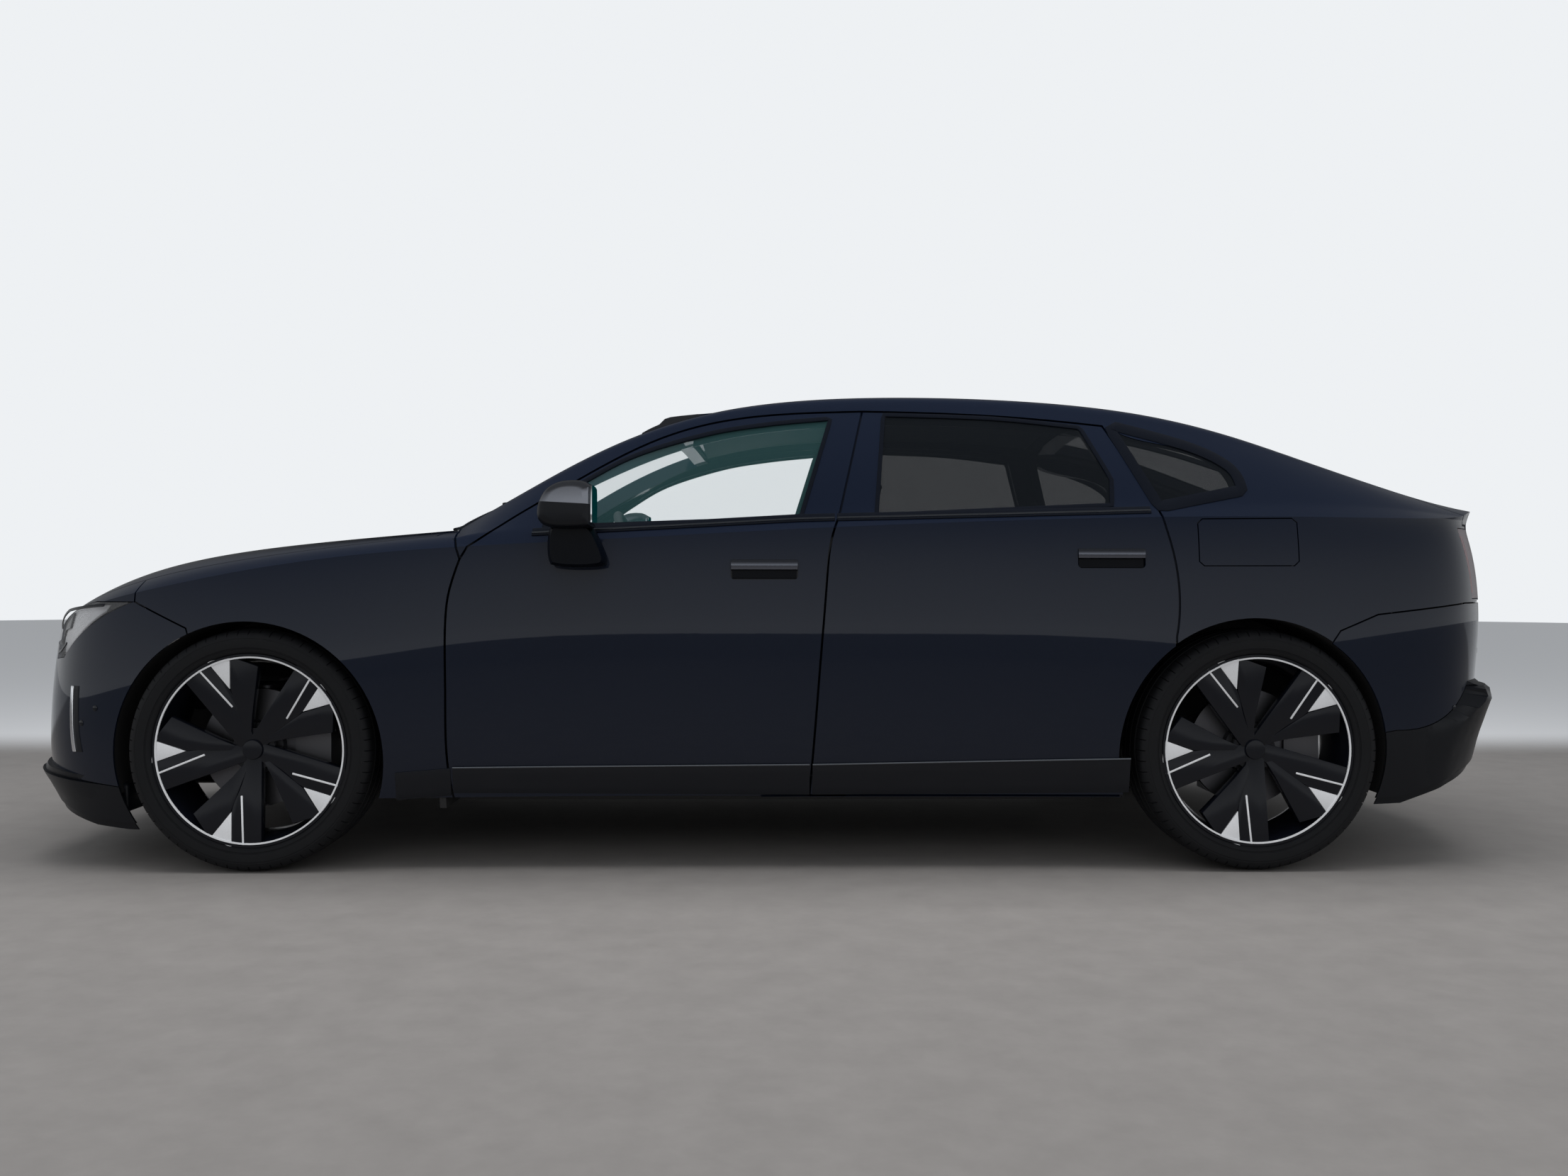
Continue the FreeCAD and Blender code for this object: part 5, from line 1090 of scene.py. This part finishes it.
onBothSides("headlamp_reflector", "reflector", wholeBody, frontLamp["columns"], frontLamp["columns"],
            lampSurface(frontLamp["low"], frontLamp["high"], frontLamp["behind"], frontLamp["ribHeight"],
                        frontLamp["ribs"]), slot="lamp_clear", **frontLamp["laid"])
for k, lines in enumerate(frontLamp["units"]):
    onBothSides("headlamp_unit_%d" % (k + 1), "lampBlack", wholeBody, 10, 6,
                lampSurface(*lines, frontLamp["unitBehind"], columns=10), **frontLamp["unitLaid"])
foot = frontLamp["low"][:3]
for tag, low, high in (("brow", raised(frontLamp["high"], -frontLamp["band"]), frontLamp["high"]),
                       ("foot", foot, raised(foot, frontLamp["band"]))):
    onBothSides("headlamp_" + tag, "gloss", wholeBody, frontLamp["columns"], 2,
                lampSurface(low, high, -frontLamp["bandProud"]), **frontLamp["bandLaid"])


def frontSurface(yFrom, yTo, zFrom, zTo, towards=1, lean=0.0, behind=0.0):  # the rear with -1
    def surface(s, t):
        y, z = yFrom + (yTo - yFrom) * s + lean * t, zFrom + (zTo - zFrom) * t
        place, normal = onFront(y, z, towards)
        flip = Vector((1, -1 if y > 0 else 1, 1))
        return (place - normal * behind) * flip, normal * flip
    return surface


# rear lamps: a smoked lens over upright red bars
rearLamp = {"ys": (-0.712, -0.756, -0.800), "zs": (0.862, 1.048), "halfBar": 0.007, "behind": 0.014,
            "laid": {"lift": 0.0, "depth": 0.004, "edge": 0.001}}
for k, y in enumerate(rearLamp["ys"]):
    onBothSides("tail_lamp_bar_%d" % (k + 1), "redGlow", wholeBody, 2, 24,
                frontSurface(y - rearLamp["halfBar"], y + rearLamp["halfBar"], *rearLamp["zs"], -1,
                             behind=rearLamp["behind"]), slot="lamp_red", **rearLamp["laid"])

# front intake with slats, air slots with a bright edge, and blank plates
intake = {"halfWidth": 0.52, "z": (0.300, 0.415), "laid": {"lift": 0.0012, "depth": 0.006}, "slats": 5,
          "margin": 0.012, "halfSlat": 0.0035, "slatLaid": {"lift": 0.0060, "depth": 0.002, "edge": 0.0015}}
width, (low, high) = intake["halfWidth"], intake["z"]
sheet("front_intake", 60, 8, frontSurface(-width, width, low, high), "trim", "body", **intake["laid"])
width -= intake["margin"]
for k, z in enumerate(np.linspace(low + intake["margin"], high - intake["margin"], intake["slats"])):
    sheet("front_slat_%d" % (k + 1), 60, 2,
          frontSurface(-width, width, z - intake["halfSlat"], z + intake["halfSlat"]), "gloss", "body",
          **intake["slatLaid"])
airSlot = {"zs": (0.362, 0.566), "ys": (-0.868, -0.879), "edgeYs": (-0.861, -0.868), "lean": 0.010,
           "laid": {"lift": 0.0012}, "edgeLaid": {"lift": 0.0045, "edge": 0.0012}}
onBothSides("air_slot", "trim", wholeBody, 3, 24,
            frontSurface(*airSlot["ys"], *airSlot["zs"], lean=airSlot["lean"]), **airSlot["laid"])
onBothSides("air_slot_edge", "chrome", wholeBody, 1, 24,
            frontSurface(*airSlot["edgeYs"], *airSlot["zs"], lean=airSlot["lean"]), **airSlot["edgeLaid"])
plates = {"ys": (-0.260, 0.260), "zs": {"front": (0.448, 0.560), "rear": (0.520, 0.632)},
          "laid": {"lift": 0.0060, "depth": 0.002, "edge": 0.002}}
for (tag, zs), towards in zip(plates["zs"].items(), (1, -1)):
    sheet(tag + "_plate", 24, 8, frontSurface(*plates["ys"], *zs, towards), "plate", "body", **plates["laid"])


def slab(name, centre, size, finishes, body="body", tilt=0.0, edge=0.004, segments=3):
    bm = bmesh.new()
    turn = Matrix.Rotation(math.radians(tilt), 4, "Y")
    bmesh.ops.create_cube(bm, size=1,
                          matrix=Matrix.Translation(centre) @ turn @ Matrix.Diagonal((*size, 1)))
    if edge:
        bevelled(bm, bm.edges[:], edge, segments)
    return finished(bm, name, finishes, body)


# dark deflectors from the lip's ends towards the front tyres; the plates also fill the gap between lip and
# tyre with dark, as painted shade
deflectorAndShade = {"x": (-2.110, -2.030), "y": (-0.862, -0.640), "z": (0.172, 0.262), "edge": 0.010, "segments": 3}
for hand, sign in hands:
    bm = bmesh.new()
    bmesh.ops.create_cube(bm, size=1)
    for vertex in bm.verts:
        x, y, z = (low + (high - low) * (c + 0.5)
                   for (low, high), c in zip((deflectorAndShade[k] for k in "xyz"), vertex.co))
        vertex.co = (x, -sign * y, z)
    bevelled(bm, bm.edges[:], deflectorAndShade["edge"], deflectorAndShade["segments"])
    bmesh.ops.recalc_face_normals(bm, faces=bm.faces)
    finished(bm, hand + "_tyre_deflector_and_shade", "trim", "body")

# small round parking sensors in the bumpers
sensor = {"radius": 0.009, "proud": 0.0014, "sunk": 0.002, "edge": 0.0006, "segments": 32,
          "front": ((-0.30, 0.470), (-0.62, 0.490), (-0.90, 0.500)), "rear": ((-0.34, 0.660), (-0.66, 0.670)),
          "side": ((-2.168, 0.452), (2.118, 0.500))}


def parkingSensor(name, place, normal):
    bm = bmesh.new()
    cone(bm, place + normal * (sensor["proud"] - sensor["sunk"]) / 2, facing(normal),
         (sensor["radius"], sensor["radius"]), sensor["proud"] + sensor["sunk"], sensor["segments"])
    tops = [e for e in bm.edges if all((v.co - place).dot(normal) > 0 for v in e.verts)]
    bevelled(bm, tops, sensor["edge"])
    finished(bm, name, "gloss", "body")


def onRear(y, z):
    return onFront(y, z, -1)


for tag, find in (("front", onFront), ("rear", onRear), ("side", onSide)):
    for k, spot in enumerate(sensor[tag]):
        for hand, sign in hands:
            place, normal = find(*spot)
            flip = Vector((1, -sign, 1))
            parkingSensor("%s_%s_sensor_%d" % (hand, tag, k + 1), place * flip, normal * flip)
print("stage: lamps, intake, plates and sensors")

# wipers at the foot of the windscreen
wiper = {"pivots": ((-1.086, -0.560), (-1.135, 0.060)), "tips": ((-0.965, -0.060), (-0.965, 0.560)),
         "armRadius": 0.0050, "lift": 0.0085, "footLift": 0.45, "rise": 2.5, "bow": 0.003,
         "bladeHalf": 0.30, "bladeRadius": 0.0042, "bladeLift": 0.0045, "bladeFrom": (0.018, -0.22),
         "bladeSlope": -0.030}


def tube(name, points, radius):
    bm, rings = bmesh.new(), []
    for i, point in enumerate(points):
        run = (points[min(i + 1, len(points) - 1)] - points[max(i - 1, 0)]).normalized()
        made = bmesh.ops.create_circle(bm, cap_ends=False, segments=10, radius=radius,
                                       matrix=Matrix.Translation(point) @ facing(run))
        rings.append(list({e for v in made["verts"] for e in v.link_edges}))
    skinned(bm, rings)
    finished(bm, name, "trim", "body", angle=50)


for k, ((px, py), (tx, ty)) in enumerate(zip(wiper["pivots"], wiper["tips"])):
    arm, blade = [], []
    for t in np.linspace(0, 1, 14):
        place, normal = onTop(px + (tx - px) * t, py + (ty - py) * t)
        lift = wiper["lift"] * min(wiper["footLift"] + wiper["rise"] * t, 1.0)
        arm.append(place + normal * (lift + wiper["bow"] * math.sin(math.pi * t)))
    for t in np.linspace(-1, 1, 22):
        place, normal = onTop(tx + wiper["bladeFrom"][0] + wiper["bladeSlope"] * t,
                              ty + wiper["bladeHalf"] * t + wiper["bladeFrom"][1])
        blade.append(place + normal * wiper["bladeLift"])
    tube("wiper_arm_%d" % (k + 1), arm, wiper["armRadius"])
    tube("wiper_blade_%d" % (k + 1), blade, wiper["bladeRadius"])
print("stage: wipers")

# seats: crowned cushions over a side profile, with seams, and bolsters at the sides
cushions = {"fill": 0.85, "endPower": 7, "sidePower": 9, "roundPower": 0.35, "sag": 0.012,
            "bolster": (0.80, 0.13), "piping": (0.66, 0.020), "seamDepth": 0.006, "seamHalf": 0.010,
            "seamsWithin": 0.70, "splitDepth": 0.0132}


def cushionSurface(profile, yFrom, yTo, crown, bolster, seams, splits, columns):
    line = curved(profile, columns + 1)
    run = np.gradient(line, axis=0)
    normals = np.column_stack([-run[:, 1], run[:, 0]]) / np.linalg.norm(run, axis=1)[:, None]
    if normals[len(normals) // 2][0] > 0:
        normals = -normals

    def ridge(distance, half):
        return math.exp(-(distance / half) ** 2)

    def surface(s, t):
        (x, z), (nx, nz) = line[round(s * columns)], normals[round(s * columns)]
        across = 2 * t - 1
        side = abs(across)
        ends = (1 - abs(2 * s - 1) ** cushions["endPower"]) ** cushions["roundPower"]
        sides = (1 - side ** cushions["sidePower"]) ** cushions["roundPower"]
        height = crown * (ends * sides - 1) - cushions["sag"] * side ** 2
        if bolster:
            at, half = cushions["bolster"]
            height += bolster * ridge(side - at, half) * ends
            at, half = cushions["piping"]
            height -= cushions["seamDepth"] * ridge(side - at, half)
        if side < cushions["seamsWithin"] or not bolster:
            height -= sum(cushions["seamDepth"] * ridge(s - seam, cushions["seamHalf"]) for seam in seams)
        for split in splits:
            height -= cushions["splitDepth"] * ridge(across - split, cushions["seamHalf"])
        return Vector((x + nx * height, yFrom + (yTo - yFrom) * t, z + nz * height)), Vector((nx, 0, nz))
    return surface


def cushion(name, profile, ys, crown, thickness, bolster=0.0, seams=(), splits=(), columns=72, rows=64):
    surface = cushionSurface(profile, *sorted(ys), crown, bolster, seams, splits, columns)
    piece = sheet(name, columns, rows, surface, "seat", "body", slot="seat_cloth", lift=0.0, depth=thickness,
                  edge=0.0, angle=60)
    return piece


frontSeat = {"base": [(-0.345, 0.548), (-0.330, 0.590), (-0.280, 0.600), (-0.180, 0.588), (-0.060, 0.568),
                      (0.040, 0.556)],
             "back": [(0.052, 0.560), (0.072, 0.670), (0.105, 0.820), (0.150, 0.960), (0.190, 1.080),
                      (0.212, 1.130)],
             "head": [(0.212, 1.164), (0.216, 1.210), (0.232, 1.270), (0.262, 1.302)],
             "ys": (0.640, 0.130), "headYs": (0.520, 0.250), "baseSize": (0.050, 0.130, 0.028),
             "backSize": (0.050, 0.085, 0.034), "headSize": (0.038, 0.075),
             "baseSeams": (0.30, 0.46, 0.62, 0.78), "backSeams": (0.22, 0.36, 0.50, 0.64, 0.78),
             "x": -0.140, "shellZ": 0.430, "shell": (0.400, 0.440, 0.130), "shellEdge": 0.022,
             "railZ": 0.360, "rail": (0.520, 0.050, 0.016), "railY": 0.17}
for hand, sign in hands:
    ys, headYs = ([sign * y for y in frontSeat[key]] for key in ("ys", "headYs"))
    base = cushion(hand + "_seat_base", frontSeat["base"], ys, *frontSeat["baseSize"], frontSeat["baseSeams"])
    if hand == "left":
        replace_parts(base, "front_seats")
    cushion(hand + "_seat_back", frontSeat["back"], ys, *frontSeat["backSize"], frontSeat["backSeams"])
    cushion(hand + "_seat_head", frontSeat["head"], headYs, *frontSeat["headSize"], columns=40, rows=40)
    x, y = frontSeat["x"], sum(ys) / 2
    slab(hand + "_seat_base_shell", (x, y, frontSeat["shellZ"]), frontSeat["shell"], "cabin",
         edge=frontSeat["shellEdge"], segments=4)
    for side in (-1, 1):
        slab("%s_seat_rail_%s" % (hand, "inner" if side * sign < 0 else "outer"),
             (x, y + side * frontSeat["railY"], frontSeat["railZ"]), frontSeat["rail"], "cast",
             edge=0.0)
rearSeat = {"base": [(0.560, 0.545), (0.575, 0.585), (0.640, 0.598), (0.760, 0.586), (0.900, 0.572),
                     (0.990, 0.565)],
            "back": [(1.000, 0.570), (1.030, 0.680), (1.075, 0.820), (1.120, 0.960), (1.150, 1.050),
                     (1.165, 1.080)],
            "head": [(1.166, 1.082), (1.168, 1.130), (1.176, 1.180), (1.190, 1.208)],
            "ys": (-0.640, 0.640), "headYs": (0.510, 0.290), "baseSize": (0.045, 0.150),
            "backSize": (0.045, 0.075), "headSize": (0.030, 0.050), "baseSeams": (0.30, 0.48, 0.66, 0.84),
            "backSeams": (0.20, 0.36, 0.52, 0.68, 0.84), "splits": (-0.34, 0.34)}
bench = cushion("rear_seat_base", rearSeat["base"], rearSeat["ys"], *rearSeat["baseSize"],
                seams=rearSeat["baseSeams"], splits=rearSeat["splits"], rows=120)
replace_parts(bench, "rear_seat")
cushion("rear_seat_back", rearSeat["back"], rearSeat["ys"], *rearSeat["backSize"],
        seams=rearSeat["backSeams"], splits=rearSeat["splits"], rows=120)
for hand, sign in hands:
    ys = [sign * y for y in rearSeat["headYs"]]
    cushion(hand + "_rear_head", rearSeat["head"], ys, *rearSeat["headSize"], columns=40, rows=40)
print("stage: seats")

# cabin: headliner, screens and trim
cabin = {"linerX": (-0.300, 1.040), "linerY": 0.560, "linerDrop": 0.038,
         "linerLaid": {"lift": 0.0, "depth": 0.003, "edge": 0.001}}
slabs = (  # name, centre, size, finish, tilt and rounded edge
    ("centre_screen", (-0.655, 0.0, 0.9950), (0.014, 0.250, 0.190), "display", -10, 0.005),
    ("driver_screen", (-0.690, -0.372, 1.0150), (0.014, 0.260, 0.080), "display", -10, 0.005),
    ("dash_trim_strip", (-0.6250, 0.360, 0.9000), (0.010, 0.560, 0.014), "chrome", 0, 0.003),
    ("left_vent_1", (-0.6240, -0.610, 0.9400), (0.014, 0.110, 0.034), "gloss", 0, 0.004),
    ("right_vent_1", (-0.6240, 0.610, 0.9400), (0.014, 0.110, 0.034), "gloss", 0, 0.004),
    ("right_vent_2", (-0.6240, 0.180, 0.9400), (0.014, 0.110, 0.034), "gloss", 0, 0.004),
    ("console_top", (-0.220, 0.0, 0.6260), (0.560, 0.200, 0.018), "gloss", 0, 0.006))
doorTrims = {  # x, z, and the armrest's middle
    "front": ((-0.760, 0.020), (0.480, 0.960), -0.300), "rear": ((0.330, 0.820), (0.620, 0.980), 0.560)}
doorCabin = {"drop": 0.122, "laid": {"lift": 0.0, "depth": 0.010, "edge": 0.003}, "armrestZ": 0.760,
             "armrestIn": 0.150,
             "armrest": (0.420, 0.060, 0.045), "armrestEdge": 0.014, "handleFrom": (-0.150, 0.006, 0.8600),
             "handle": (0.090, 0.014, 0.022), "handleEdge": 0.004}


def linerSurface(s, t):
    x = cabin["linerX"][0] + (cabin["linerX"][1] - cabin["linerX"][0]) * s
    place, normal = onTop(x, cabin["linerY"] * (2 * t - 1))
    return place - normal * cabin["linerDrop"], -normal


def trimSurface(xs, zs):
    def surface(s, t):
        place, normal = onSide(xs[0] + (xs[1] - xs[0]) * s, zs[0] + (zs[1] - zs[0]) * t)
        return place - normal * doorCabin["drop"], -normal
    return surface


sheet("headliner", 60, 50, linerSurface, "liner", "body", slot="cabin_trim", **cabin["linerLaid"])
for name, centre, size, key, tilt, edge in slabs:
    slab(name, centre, size, key, tilt=tilt, edge=edge)
for tag, bodies in (("front", doorsFront), ("rear", doorsRear)):
    onBothSides(tag + "_door_trim", "cabin", bodies, 40, 16, trimSurface(*doorTrims[tag][:2]),
                slot="cabin_trim", **doorCabin["laid"])
for tag, bodies in (("front", doorsFront), ("rear", doorsRear)):
    x, z = doorTrims[tag][2], doorCabin["armrestZ"]
    y = abs(onSide(x, z)[0].y) - doorCabin["armrestIn"]
    back, inward, handleZ = doorCabin["handleFrom"]
    for (hand, sign), body in zip(hands, bodies):
        name = "%s_%s_" % (hand, tag)
        slab(name + "armrest", (x, sign * y, z), doorCabin["armrest"], "cabin", body,
             edge=doorCabin["armrestEdge"])
        slab(name + "inner_handle", (x + back, sign * (y + inward), handleZ), doorCabin["handle"], "chrome",
             body, edge=doorCabin["handleEdge"])

# the steering wheel's pad
steering = {"centre": (-0.4865, -0.372, 0.9554), "axis": (0.240, 0.0, 0.10513), "padRadii": (0.070, 0.058),
            "padDepth": 0.026, "padOut": 0.026, "padEdge": 0.006}
axis = Vector(steering["axis"]).normalized()
bm = bmesh.new()
cone(bm, Vector(steering["centre"]) + axis * steering["padOut"], facing(axis), steering["padRadii"],
     steering["padDepth"], 40)
bevelled(bm, sharpEdges(bm.edges, 40), steering["padEdge"], 3)
finished(bm, "steering_pad", "cabin", "steering_wheel")
print("stage: cabin")
